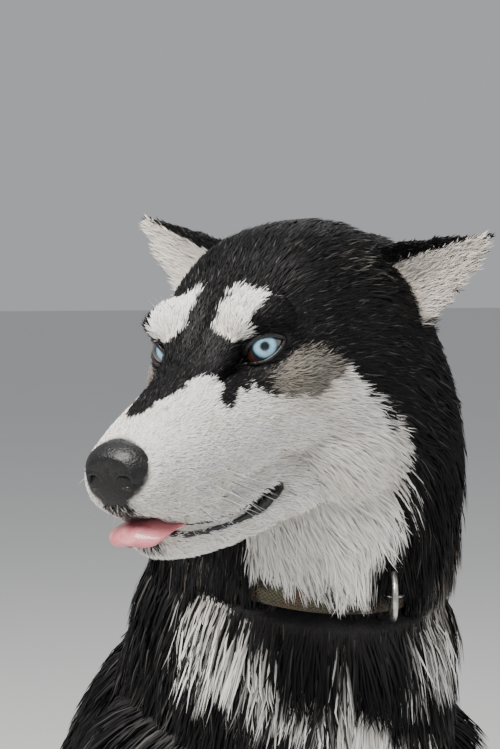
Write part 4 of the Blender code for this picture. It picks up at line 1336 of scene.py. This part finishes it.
def shaded(tree, colour, value):
    """A colour made lighter or darker by a value."""
    tint = add_node(tree, "ShaderNodeCombineColor", {"Red": value, "Green": value, "Blue": value})
    return mixed_colour(tree, 1.0, colour, tint.outputs[0], "MULTIPLY")


def ramp(tree, value, low, high, start=0.0, end=1.0, smooth=False):
    """A value's range turned into another."""
    made = add_node(tree, "ShaderNodeMapRange",
                    {"Value": value, "From Min": low, "From Max": high, "To Min": start,
                     "To Max": end}, interpolation_type="SMOOTHSTEP" if smooth else "LINEAR")
    return made.outputs["Result"]


def noise(tree, vector, scale, detail=3.0, roughness=0.55):
    """A noise value."""
    made = add_node(tree, "ShaderNodeTexNoise",
                    {"Vector": vector, "Scale": scale, "Detail": detail, "Roughness": roughness})
    return made.outputs["Fac"]


def object_place(tree):
    """Object coordinates."""
    return add_node(tree, "ShaderNodeTexCoord").outputs["Object"]


def attribute(tree, name, what="Vector"):
    """An attribute of the mesh."""
    return add_node(tree, "ShaderNodeAttribute", attribute_name=name).outputs[what]


def bump(tree, height, distance):
    """A height as a normal."""
    return add_node(tree, "ShaderNodeBump", {"Height": height, "Distance": distance}).outputs["Normal"]


def new_material(name, links, **values):
    """A material whose shader has these plain values. Links makes its nodes."""
    made = bpy.data.materials.new(name)
    made.use_nodes = True
    tree = made.node_tree
    shader = tree.nodes["Principled BSDF"]
    for key, value in values.items():
        shader.inputs[key.replace("_", " ")].default_value = value
    for key, value in links(tree).items():
        join(tree, shader.inputs[key], value)
    return made


def new_group(name, inputs, outputs):
    """An empty shader node group with its sockets."""
    group = bpy.data.node_groups.new(name, "ShaderNodeTree")
    for label, kind in inputs:
        group.interface.new_socket(name=label, in_out="INPUT", socket_type=kind)
    for label, kind in outputs:
        group.interface.new_socket(name=label, in_out="OUTPUT", socket_type=kind)
    return group, add_node(group, "NodeGroupInput").outputs, add_node(group, "NodeGroupOutput")


def place_group(tree, group, values):
    """A node group placed in a material."""
    made = tree.nodes.new("ShaderNodeGroup")
    made.node_tree = group
    for key, value in values.items():
        join(tree, made.inputs[key], value)
    return made.outputs


def hair_colour_group():
    """Colour and roughness of hair from its markings, its place along the hair and its chance. Tan, grey and
    white hair darken towards the root, partly as painted shade.
    """
    group, inputs, out = new_group(
        "hair colour",
        (("Marks", "NodeSocketColor"), ("Along", "NodeSocketFloat"), ("Chance", "NodeSocketFloat")),
        (("Colour", "NodeSocketColor"), ("Roughness", "NodeSocketFloat")))
    split = add_node(group, "ShaderNodeSeparateColor", {"Color": inputs["Marks"]}).outputs
    chance, along = inputs["Chance"], inputs["Along"]
    other = maths(group, "FRACT", maths(group, "MULTIPLY", chance, 17.31))
    spread = maths(group, "SUBTRACT", chance, 0.5)
    shares = []
    # The blue mark is grey hair, and also the painted sheen before the ear
    for channel, width in (("Red", 0.50), ("Green", 0.70), ("Blue", 0.80)):
        moved = maths(group, "MULTIPLY_ADD", spread, width, split[channel])
        shares.append(ramp(group, moved, 0.32, 0.68, smooth=True))
    black = mixed_colour(group, ramp(group, along, 0.0, 0.6), BLACK_ROOT, BLACK_TIP)
    black = mixed_colour(group, ramp(group, other, 0.93, 0.96, 0.0, 0.50), black, BLACK_PALE)
    # Tan, grey and white hair darken towards the root: partly undercoat colour, partly painted shade deep in
    # the coat
    tan = mixed_colour(group, along, TAN_SHADED_ROOT, TAN_TIP)
    grey = mixed_colour(group, along, GREY_SHADED_ROOT, GREY_TIP)
    white = mixed_colour(group, ramp(group, along, 0.0, 0.7), WHITE_SHADED_ROOT, WHITE_TIP)
    white = mixed_colour(group, maths(group, "MULTIPLY", split["Green"], 0.7), white, CREAM)
    colour = mixed_colour(group, shares[1], black, tan)
    colour = mixed_colour(group, shares[2], colour, grey)
    colour = mixed_colour(group, shares[0], colour, white)
    colour = shaded(group, colour, ramp(group, other, 0.0, 1.0, 0.80, 1.08))
    join(group, out.inputs["Colour"], colour)
    join(group, out.inputs["Roughness"], ramp(group, shares[0], 0.0, 1.0, 0.50, 0.66))
    return group


def coat_material(group):
    """Hair: its markings root by root, darker at the root, partly as painted shade deep in the coat."""
    def links(tree):
        strand = add_node(tree, "ShaderNodeSeparateXYZ", {"Vector": attribute(tree, "strand")}).outputs
        marked = attribute(tree, "marks", "Color")
        look = place_group(tree, group, {"Marks": marked, "Along": strand["X"], "Chance": strand["Y"]})
        return {"Base Color": look["Colour"], "Roughness": look["Roughness"]}
    return new_material("husky_hair", links, Specular_IOR_Level=0.12)


def skin_material(group):
    """The undercoat and bare skin: the coat's markings in the hair's darker root colours, partly painted
    shade between the tufts, short felted hair, and black leather.
    """
    def links(tree):
        place = object_place(tree)
        fine = noise(tree, place, 900.0, 2.0)
        marked = add_node(tree, "ShaderNodeAttribute", attribute_name="marks").outputs
        # The skin takes the hair's root colours, darker than the tips: partly the undercoat's colour, partly
        # painted shade between the tufts
        along = ramp(tree, fine, 0.3, 0.7, 0.0, 0.5)
        look = place_group(tree, group, {"Marks": marked["Color"], "Along": along, "Chance": fine})
        colour = mixed_colour(tree, marked["Alpha"], look["Colour"], rgb(0.010, 0.009, 0.009))
        rough = maths(tree, "MULTIPLY_ADD", marked["Alpha"], -0.25, 0.72)
        height = maths(tree, "ADD", fine, noise(tree, place, 260.0, 3.0))
        return {"Base Color": colour, "Roughness": rough, "Normal": bump(tree, height, 0.0006)}
    return new_material("husky_skin", links, Specular_IOR_Level=0.25)


def eye_material():
    """A pale blue iris with fine rays, a dark rim and a small pupil, under a wet coat."""
    def links(tree):
        split = add_node(tree, "ShaderNodeSeparateXYZ", {"Vector": attribute(tree, "gaze")}).outputs
        flat = add_node(tree, "ShaderNodeCombineXYZ", {"X": split["X"], "Y": split["Y"]}).outputs[0]
        reach = vector_maths(tree, "LENGTH", flat)["Value"]
        way = vector_maths(tree, "NORMALIZE", flat)[0]
        ray = vector_maths(tree, "SCALE", way, Scale=7.0)[0]
        deep = add_node(tree, "ShaderNodeCombineXYZ", {"Z": maths(tree, "MULTIPLY", reach, 1.3)})
        rays = vector_maths(tree, "ADD", ray, deep.outputs[0])
        streak = noise(tree, rays[0], 2.6, 4.0, 0.6)
        wave = maths(tree, "MULTIPLY_ADD", maths(tree, "SUBTRACT", streak, 0.5), 0.16, reach)
        iris = add_node(tree, "ShaderNodeValToRGB", {"Fac": wave})
        stops = ((0.00, rgb(0.002, 0.002, 0.003)), (0.27, rgb(0.003, 0.003, 0.004)),
                 (0.33, rgb(0.05, 0.13, 0.19)), (0.42, rgb(0.22, 0.42, 0.54)),
                 (0.60, rgb(0.30, 0.53, 0.65)), (0.76, rgb(0.17, 0.39, 0.52)),
                 (0.88, rgb(0.025, 0.085, 0.13)), (0.96, rgb(0.004, 0.010, 0.016)))
        bar = iris.color_ramp
        while len(bar.elements) < len(stops):
            bar.elements.new(0.5)
        for element, (spot, colour) in zip(bar.elements, stops):
            element.position = spot
            element.color = colour
        colour = shaded(tree, iris.outputs["Color"], ramp(tree, streak, 0.25, 0.75, 0.70, 1.22))
        white = mixed_colour(tree, noise(tree, object_place(tree), 500.0),
                             rgb(0.022, 0.009, 0.008), rgb(0.065, 0.028, 0.022))
        colour = mixed_colour(tree, ramp(tree, reach, 1.0, 1.08, smooth=True), colour, white)
        return {"Base Color": colour, "Roughness": ramp(tree, reach, 0.95, 1.05, 0.30, 0.22)}
    return new_material("eye", links, Coat_Weight=1.0, Coat_Roughness=0.02, Coat_IOR=1.38)


def leather_material(name, colour, roughness, cell, depth, coat):
    """Bare, pebbled skin, as on the nose and lips."""
    def links(tree):
        place = object_place(tree)
        pebble = add_node(tree, "ShaderNodeTexVoronoi", {"Vector": place, "Scale": 1.0 / cell},
                          feature="SMOOTH_F1")
        tone = noise(tree, place, 220.0)
        dark = tuple(0.45 * part for part in colour[:3]) + (1.0,)
        mixed_tone = mixed_colour(tree, ramp(tree, tone, 0.35, 0.65), dark, colour)
        height = maths(tree, "SUBTRACT", noise(tree, place, 1500.0, 2.0),
                       maths(tree, "MULTIPLY", pebble.outputs["Distance"], 1.6))
        return {"Base Color": mixed_tone, "Normal": bump(tree, height, depth),
                "Roughness": ramp(tree, tone, 0.3, 0.7, roughness - 0.05, roughness + 0.07)}
    return new_material(name, links, Coat_Weight=coat, Coat_Roughness=0.22, Specular_IOR_Level=0.35)


def tongue_material():
    """Wet pink flesh with fine papillae."""
    def links(tree):
        place = object_place(tree)
        tone = noise(tree, place, 130.0)
        dots = add_node(tree, "ShaderNodeTexVoronoi", {"Vector": place, "Scale": 1300.0})
        colour = mixed_colour(tree, ramp(tree, tone, 0.3, 0.7), rgb(0.50, 0.130, 0.150),
                              rgb(0.66, 0.230, 0.250))
        height = maths(tree, "SUBTRACT", 1.0, dots.outputs["Distance"])
        return {"Base Color": colour, "Normal": bump(tree, height, 0.00018),
                "Roughness": ramp(tree, tone, 0.3, 0.7, 0.38, 0.5)}
    return new_material("tongue", links, Coat_Weight=0.5, Coat_Roughness=0.15,
                        Subsurface_Weight=0.12, Subsurface_Scale=0.003)


def horn_material():
    """Horn of the claws: grey-brown, with fine lines along it."""
    def links(tree):
        place = object_place(tree)
        grain = add_node(tree, "ShaderNodeMapping", {"Vector": place, "Scale": (900.0, 120.0, 900.0)})
        tone = noise(tree, grain.outputs[0], 1.0)
        colour = mixed_colour(tree, tone, rgb(0.050, 0.040, 0.034), rgb(0.200, 0.165, 0.135))
        return {"Base Color": colour, "Normal": bump(tree, tone, 0.00012),
                "Roughness": ramp(tree, tone, 0.3, 0.7, 0.30, 0.45)}
    return new_material("claw_horn", links, Coat_Weight=0.2)


def webbing_material():
    """Woven webbing in a worn olive, brown and black mottle, with a stitched edge and painted shade in the
    hollows of the weave.
    """
    def links(tree):
        uv = add_node(tree, "ShaderNodeUVMap", uv_map="weave").outputs["UV"]
        split = add_node(tree, "ShaderNodeSeparateXYZ", {"Vector": uv}).outputs
        along = maths(tree, "MULTIPLY", split["X"], 2 * math.pi / WEAVE_LENGTH)
        across = maths(tree, "MULTIPLY", split["Y"], 2 * math.pi / WEAVE_HEIGHT)
        warp = maths(tree, "SINE", maths(tree, "ADD", along, across))
        weft = maths(tree, "SINE", maths(tree, "SUBTRACT", along, across))
        weave = maths(tree, "MAXIMUM", warp, weft)
        place = object_place(tree)
        lumps = noise(tree, place, 55.0, 4.0)
        spots = noise(tree, place, 95.0, 3.0, 0.4)
        colour = mixed_colour(tree, ramp(tree, lumps, 0.44, 0.50), rgb(0.018, 0.016, 0.014),
                              rgb(0.090, 0.082, 0.044))
        colour = mixed_colour(tree, ramp(tree, spots, 0.52, 0.56), colour, rgb(0.110, 0.068, 0.038))
        # Painted shade: the colour is darker in the hollows of the weave and lighter on its raised threads
        colour = shaded(tree, colour, ramp(tree, weave, -1.0, 1.0, 0.55, 1.15))
        from_middle = maths(tree, "ABSOLUTE", split["Y"])
        thread = maths(tree, "COMPARE", from_middle, STITCH_HEIGHT, STITCH_HALF_WIDTH)
        dash = maths(tree, "GREATER_THAN", maths(tree, "SINE", maths(tree, "MULTIPLY", along, 0.55)), -0.4)
        thread = maths(tree, "MULTIPLY", thread, dash)
        colour = mixed_colour(tree, thread, colour, rgb(0.055, 0.050, 0.036))
        height = maths(tree, "ADD", weave, maths(tree, "MULTIPLY", thread, 1.5))
        return {"Base Color": colour, "Normal": bump(tree, height, 0.00035),
                "Roughness": ramp(tree, weave, -1.0, 1.0, 0.85, 0.70)}
    return new_material("webbing", links, Sheen_Weight=0.08, Sheen_Roughness=0.5)


def metal_material():
    """Worn, lightly scratched steel."""
    def links(tree):
        place = object_place(tree)
        wear = noise(tree, place, 300.0, 4.0)
        scratch = noise(tree, place, 2500.0, 2.0)
        colour = mixed_colour(tree, ramp(tree, wear, 0.35, 0.65), rgb(0.34, 0.32, 0.29),
                              rgb(0.62, 0.60, 0.57))
        return {"Base Color": colour, "Roughness": ramp(tree, wear, 0.35, 0.65, 0.42, 0.24),
                "Normal": bump(tree, scratch, 0.00006)}
    return new_material("steel", links, Metallic=1.0)


def eye_piece(word, side, material):
    """An eyeball with a slight cornea, turned to look at the camera."""
    centre = eye_centre(word)
    share = GAZE_SHARE[word]
    to_camera = (camera_place() - centre).normalized()
    gaze = (share * to_camera + (1.0 - share) * eye_frame(side)[3]).normalized()
    turn = gaze.to_track_quat("Z", "Y").to_matrix()
    iris = IRIS_RADIUS * MM / EYE_RADIUS
    bm = bmesh.new()
    bmesh.ops.create_uvsphere(bm, u_segments=96, v_segments=64, radius=1.0)
    layer = bm.verts.layers.float_vector.new("gaze")
    for vert in bm.verts:
        x, y, z = vert.co
        reach = math.hypot(x, y) / iris if z > 0 else 9.0
        vert[layer] = Vector((x / iris, y / iris, z)) if z > 0 else Vector((9, 0, 0))
        bulge = 0.0005 * max(0.0, 1.0 - reach ** 2)
        vert.co = centre + turn @ vert.co * (EYE_RADIUS + bulge)
    piece(new_object("eyeball_" + word, bm), "eye_blue", material, "eye_" + word)


def tube(bm, points, radii, closed=False, sides=8, flat=1.0, facing=None):
    """A round or flattened cord through points. Facing gives its flat side at each point."""
    count = len(points)
    normal = None
    rings = []
    for index, point in enumerate(points):
        before = points[index - 1] if closed or index else points[0]
        after = points[(index + 1) % count] if closed or index < count - 1 else points[-1]
        ahead = (after - before).normalized()
        if facing is not None:
            normal = facing[index]
        elif normal is None:
            normal = ahead.orthogonal()
        across = ahead.cross(normal).normalized()
        normal = across.cross(ahead).normalized()
        capped = not closed and index in (0, count - 1)
        rings.append(ring(bm, point, across, normal, radii[index], radii[index] * flat,
                          capped=capped, segments=sides))
    join_rings(bm, rings, closed)


def make_lid_rims(material):
    """The bare black edges of the lids."""
    for word, side in SIDES.items():
        centre, corner, up, out = eye_frame(side)
        points, radii, facing = [], [], []
        for across, rise in spline(LID_OUTLINE, 84, closed=True) * MM:
            distance = math.hypot(across, rise)
            depth = float(lid_depth(distance)) + 0.0004
            points.append(centre + corner * across + up * rise + out * depth)
            radii.append(0.0014 if rise > 0 else 0.0010)
            facing.append((points[-1] - centre).normalized())
        bm = bmesh.new()
        tube(bm, points, radii, closed=True, sides=10, facing=facing)
        piece(new_object("lid_rim_" + word, bm), "nose_leather", material)


def shape_nose(u, v, w):
    """A point of the nose from a point of the unit ball: nostrils, groove and flat front."""
    drawn = 1.0 + 0.16 * w
    front = v if v > -0.70 else -0.70 - (1.0 - math.exp(-(-0.70 - v) * 3.0)) * 0.14
    wide, long, high = NOSE_SIZE
    spot = Vector((u * wide * drawn, front * long, w * high))
    side = abs(u)
    hole = math.hypot((side - 0.46) / 0.21, (w + 0.02) / 0.18)
    reach = max(0.0, min(1.0, (side - 0.50) / 0.45))
    slit = math.hypot(max(0.0, 0.50 - side, side - 0.95) / 0.10, (w + 0.08 + 0.26 * reach) / 0.085)
    sunk = max(0.0062 * float(fall(hole, 0.55, 1.05)), 0.0034 * float(fall(slit, 0.5, 1.1)))
    if v > 0.15:
        sunk = 0.0
    groove = 0.0013 * math.exp(-(u / 0.045) ** 2) * math.exp(-(max(w - 0.25, 0.0) / 0.2) ** 2)
    rim = 0.0004 * math.exp(-((hole - 1.25) / 0.25) ** 2) if v < 0 else 0.0
    inward = Vector((-0.35 * u, 1.0, 0.0)).normalized()
    return spot + inward * (sunk + groove * (v < 0) - rim)


def make_nose(material):
    """The nose leather."""
    bm = bmesh.new()
    bmesh.ops.create_icosphere(bm, subdivisions=6, radius=1.0)
    for vert in bm.verts:
        vert.co = HEAD @ (Vector(NOSE_CENTRE) + shape_nose(*vert.co))
    piece(new_object("nose", bm), "nose_leather", material, "nose_pad")


def make_lips(skin, material):
    """The black edges of both lips, thick and ridged towards the corners."""
    tree = skin_tree(skin)
    for lip, drop in (("upper", 0.0002), ("lower", -0.0026)):
        for word, side in SIDES.items():
            points, radii, facing = [], [], []
            rows = spline(SETTLED["mouth"], 60)
            for index, (x, y, z) in enumerate(rows):
                share = index / (len(rows) - 1)
                place = HEAD @ Vector((side * x, y, z + drop))
                spot, normal, _, _ = tree.find_nearest(place)
                ridge = 1.0 + 0.14 * math.sin(index * 1.7) * share
                corner = math.exp(-((share - 0.84) / 0.13) ** 2)
                front = 0.0010 if lip == "upper" else 0.0019 - 0.0010 * share
                size = (front + 0.0020 * corner) * ridge * min(1.0, 0.45 + 8.0 * (1.0 - share))
                points.append(spot + normal * 0.0002)
                radii.append(size)
                facing.append(normal)
            bm = bmesh.new()
            tube(bm, points, radii, sides=10, flat=0.50, facing=facing)
            piece(new_object("%s_lip_%s" % (lip, word), bm), "nose_leather", material)


def make_tongue(material):
    """The tongue's end, out between the lips and drooping over the lower one."""
    bm = bmesh.new()
    turn = HEAD.to_3x3()
    side = turn @ Vector((1.0, 0.0, 0.0))
    path = spline([(0.0, -ahead, up, half) for ahead, up, half in TONGUE], 26)
    last = len(path) - 1
    rings = []
    for index, row in enumerate(path):
        before, after = path[max(index - 1, 0)][:3], path[min(index + 1, last)][:3]
        up = (turn @ (Vector(after) - Vector(before))).cross(side).normalized()
        end = 1.0 if index < 22 else math.sqrt(max(0.0, 1.0 - ((index - 21) / 4.6) ** 2))
        rings.append(ring(bm, HEAD @ Vector(row[:3]), side, up, row[3] * (0.35 + 0.65 * end),
                          TONGUE_HALF_THICKNESS * (0.5 + 0.5 * end), capped=index in (0, last),
                          bow=-TONGUE_CURL, segments=40))
    join_rings(bm, rings)
    for vert in bm.verts:
        local = HEAD.inverted() @ vert.co
        dip = 0.0014 * math.exp(-(local.x / 0.0024) ** 2) - 0.0012 * math.cos(local.x / 0.0045)
        vert.co -= turn @ Vector((0.0, 0.0, dip))
    piece(new_object("tongue_tip", bm), "tongue_flesh", material, "tongue")


def make_claws(material):
    """Sixteen curved claws."""
    for name in sorted(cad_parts):
        if "_claw_" not in name:
            continue
        low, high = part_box(name)
        middle = (low.x + high.x) / 2
        start = Vector((middle, high.y - 0.0006, high.z - CLAW_RADIUS))
        bend = Vector((middle, (low.y + high.y) / 2 - 0.001, high.z - CLAW_RADIUS * 0.9))
        tip = Vector((middle, low.y + 0.0006, low.z + 0.0011))
        points, radii = [], []
        for step in range(11):
            t = step / 10
            points.append(start * (1 - t) ** 2 + bend * (2 * t * (1 - t)) + tip * t ** 2)
            radii.append(CLAW_RADIUS * (1.0 - 0.78 * t ** 1.4))
        bm = bmesh.new()
        tube(bm, points, radii, sides=14)
        piece(new_object(name + "_horn", bm), "claw_horn", material, name)


def make_collar(material):
    """The collar's band. Its weave is placed by the length round it and the height."""
    steps = 144
    turned_out = COLLAR.to_3x3()
    up = turned_out @ Vector((0.0, 0.0, 1.0))
    bm = bmesh.new()
    rings = []
    for step in range(steps):
        turn = 2 * math.pi * step / steps
        x, y = math.cos(turn), math.sin(turn)
        spot = Vector((COLLAR_HALF_WIDTH * x, COLLAR_HALF_DEPTH * y, 0.0))
        out = turned_out @ Vector((x / COLLAR_HALF_WIDTH, y / COLLAR_HALF_DEPTH, 0.0)).normalized()
        rings.append(ring(bm, COLLAR @ spot, up, out, COLLAR_HEIGHT / 2, COLLAR_THICKNESS / 2,
                          power=0.45, segments=20))
    join_rings(bm, rings, closed=True)
    uv = bm.loops.layers.uv.new("weave")
    flat = COLLAR.inverted()
    radius = (COLLAR_HALF_WIDTH + COLLAR_HALF_DEPTH) / 2
    for face in bm.faces:
        middle = flat @ face.calc_center_median()
        base = math.atan2(middle.y, middle.x)
        for loop in face.loops:
            spot = flat @ loop.vert.co
            turn = math.atan2(spot.y, spot.x)
            turn += 2 * math.pi * round((base - turn) / (2 * math.pi))
            loop[uv].uv = (turn * radius, spot.z)
    piece(new_object("collar_band", bm), "collar_web", material, "collar")


def on_collar(turn, proud=0.0):
    """A point on the band's outer face at an angle from the front, or standing proud of it."""
    wide = COLLAR_HALF_WIDTH + COLLAR_THICKNESS / 2 + proud
    deep = COLLAR_HALF_DEPTH + COLLAR_THICKNESS / 2 + proud
    return COLLAR @ Vector((wide * math.sin(turn), -deep * math.cos(turn), 0.0))


def arc(middle, first, second, radius, turn, count):
    """Points round a middle, from one direction towards another."""
    spins = [turn * step / count for step in range(count + 1)]
    return [middle + (first * math.cos(spin) + second * math.sin(spin)) * radius for spin in spins]


def make_metal(material):
    """The ring and the staple that holds it."""
    angle = math.radians(RING_ANGLE)
    facing = math.radians(RING_FACING)
    face = on_collar(angle)
    out = Vector((-math.sin(facing), -math.cos(facing), 0.0))
    up = Vector((0.0, 0.0, 1.0))
    middle = face + out * (RING_RADIUS + RING_WIRE + RING_GAP)
    circle = arc(middle, out, up, RING_RADIUS, 2 * math.pi, 64)[:-1]
    bm = bmesh.new()
    tube(bm, circle, [RING_WIRE] * len(circle), closed=True, sides=16)
    piece(new_object("tag_ring", bm), "ring_metal", material, "collar_ring")
    across = (on_collar(angle + 0.02) - on_collar(angle - 0.02)).normalized()
    proud = (on_collar(angle, 0.01) - face).normalized()
    bow = arc(face + proud * STAPLE_PROUD, across, proud, STAPLE_RADIUS, math.pi, 24)
    bm = bmesh.new()
    tube(bm, bow, [STAPLE_WIRE] * len(bow), sides=12)
    piece(new_object("ring_holder", bm), "ring_metal", material, "ring_staple")


def make_whiskers(material):
    """Whiskers in rows on the muzzle, and a few over the eyes."""
    bm = bmesh.new()
    for side in (-1, 1):
        for row in range(4):
            for column in range(4):
                back = 0.009 * column + 0.002 * row - 0.084
                drop = 0.0062 * row + 0.001 * column + 0.040
                spot = Vector((side * (0.0235 + 0.0015 * column), back, -drop))
                way = Vector((side * 0.85, 0.09 * column - 0.10, -0.20 - 0.12 * row))
                way += Vector(RNG.normal(0.0, 0.10, 3))
                length = (0.022 + 0.006 * column) * RNG.uniform(0.75, 1.15)
                add_whisker(bm, spot, way.normalized(), length)
        for row in range(3):
            spot = Vector((side * (0.018 + 0.005 * row), -0.010, 0.022))
            add_whisker(bm, spot, Vector((side * 0.3, -0.5, 0.75)).normalized(), 0.020 - 0.003 * row)
    piece(new_object("whiskers", bm), "black_coat", material)


def add_whisker(bm, spot, way, length):
    """One tapered whisker, curving back and down."""
    points, radii = [], []
    for step in range(8):
        t = step / 7
        place = spot + way * (length * t) + Vector((0.0, 0.30, -0.22)) * (length * t * t)
        points.append(HEAD @ place)
        radii.append(WHISKER_RADIUS * (1.0 - 0.85 * t))
    tube(bm, points, radii, sides=5)


def whisker_material():
    """Pale, stiff hair."""
    def links(tree):
        tone = noise(tree, object_place(tree), 60.0)
        return {"Base Color": mixed_colour(tree, ramp(tree, tone, 0.4, 0.6), rgb(0.08, 0.075, 0.07),
                                           rgb(0.62, 0.60, 0.57)),
                "Roughness": ramp(tree, tone, 0.4, 0.6, 0.35, 0.5)}
    return new_material("whisker", links)


def direction(azimuth, elevation):
    """A way from the dog, by its angles from the dog's front and from the floor."""
    turn, rise = math.radians(azimuth), math.radians(elevation)
    return Vector((math.sin(turn) * math.cos(rise), -math.cos(turn) * math.cos(rise), math.sin(rise)))


def camera_aim():
    """The point that the camera looks at."""
    turn = math.radians(CAMERA_AZIMUTH)
    across = Vector((math.cos(turn), math.sin(turn), 0.0))
    return MID_EYE + across * AIM_ACROSS + Vector((0.0, 0.0, AIM_RISE))


def camera_place():
    """Where the camera stands."""
    return camera_aim() + direction(CAMERA_AZIMUTH, CAMERA_ELEVATION) * CAMERA_DISTANCE


def make_camera():
    """The camera at the photograph's viewing angle."""
    data = bpy.data.cameras.new("camera")
    data.lens = CAMERA_LENS
    data.sensor_fit = "VERTICAL"
    data.sensor_height = 36.0
    data.sensor_width = 24.0
    camera = add_object("camera", data)
    camera.location = camera_place()
    camera.rotation_euler = (camera_aim() - camera_place()).to_track_quat("-Z", "Y").to_euler()
    bpy.context.scene.camera = camera


def area_light(name, azimuth, elevation, distance, size, power, colour):
    """A soft light that points at the dog's neck."""
    data = bpy.data.lights.new(name, "AREA")
    data.shape = "DISK"
    data.size = size
    data.energy = power
    data.color = colour
    light = add_object(name, data)
    way = direction(azimuth, elevation)
    light.location = MID_EYE + way * distance
    light.rotation_euler = (-way).to_track_quat("-Z", "Y").to_euler()


def make_studio():
    """A pale floor and soft lights."""
    bm = bmesh.new()
    bmesh.ops.create_grid(bm, x_segments=1, y_segments=1, size=FLOOR_SIZE)
    floor = new_object("floor", bm)

    def links(tree):
        tone = noise(tree, object_place(tree), 3.0)
        return {"Base Color": mixed_colour(tree, tone, rgb(0.70, 0.70, 0.69), rgb(0.74, 0.74, 0.73))}
    floor.data.materials.append(new_material("floor", links, Roughness=0.9, Specular_IOR_Level=0.1))
    for light in LIGHTS:
        area_light(*light)
    world = bpy.data.worlds.new("studio")
    world.use_nodes = True
    background = world.node_tree.nodes["Background"]
    background.inputs["Color"].default_value = WORLD_COLOUR
    background.inputs["Strength"].default_value = WORLD_STRENGTH
    bpy.context.scene.world = world


def main():
    """Build the dog and its studio."""
    hair = hair_colour_group()
    skin = make_skin()
    unwrap(skin)
    points, normals = read(skin.data)
    paint(skin.data, marks(points, normals)[0], bare(points))
    piece(skin, "black_coat", skin_material(hair), *FLESH)
    leather = leather_material("nose_leather", rgb(0.0045, 0.0042, 0.0045), 0.46, 0.0011, 0.00022, 0.15)
    lips = leather_material("lip_leather", rgb(0.0075, 0.007, 0.007), 0.42, 0.0016, 0.00025, 0.3)
    make_lips(skin, lips)
    make_coat(skin, coat_material(hair))
    blue = eye_material()
    for word, side in SIDES.items():
        eye_piece(word, side, blue)
    make_lid_rims(lips)
    make_nose(leather)
    make_tongue(tongue_material())
    make_claws(horn_material())
    make_collar(webbing_material())
    make_metal(metal_material())
    make_whiskers(whisker_material())
    make_camera()
    make_studio()


main()
bpy.context.view_layer.update()
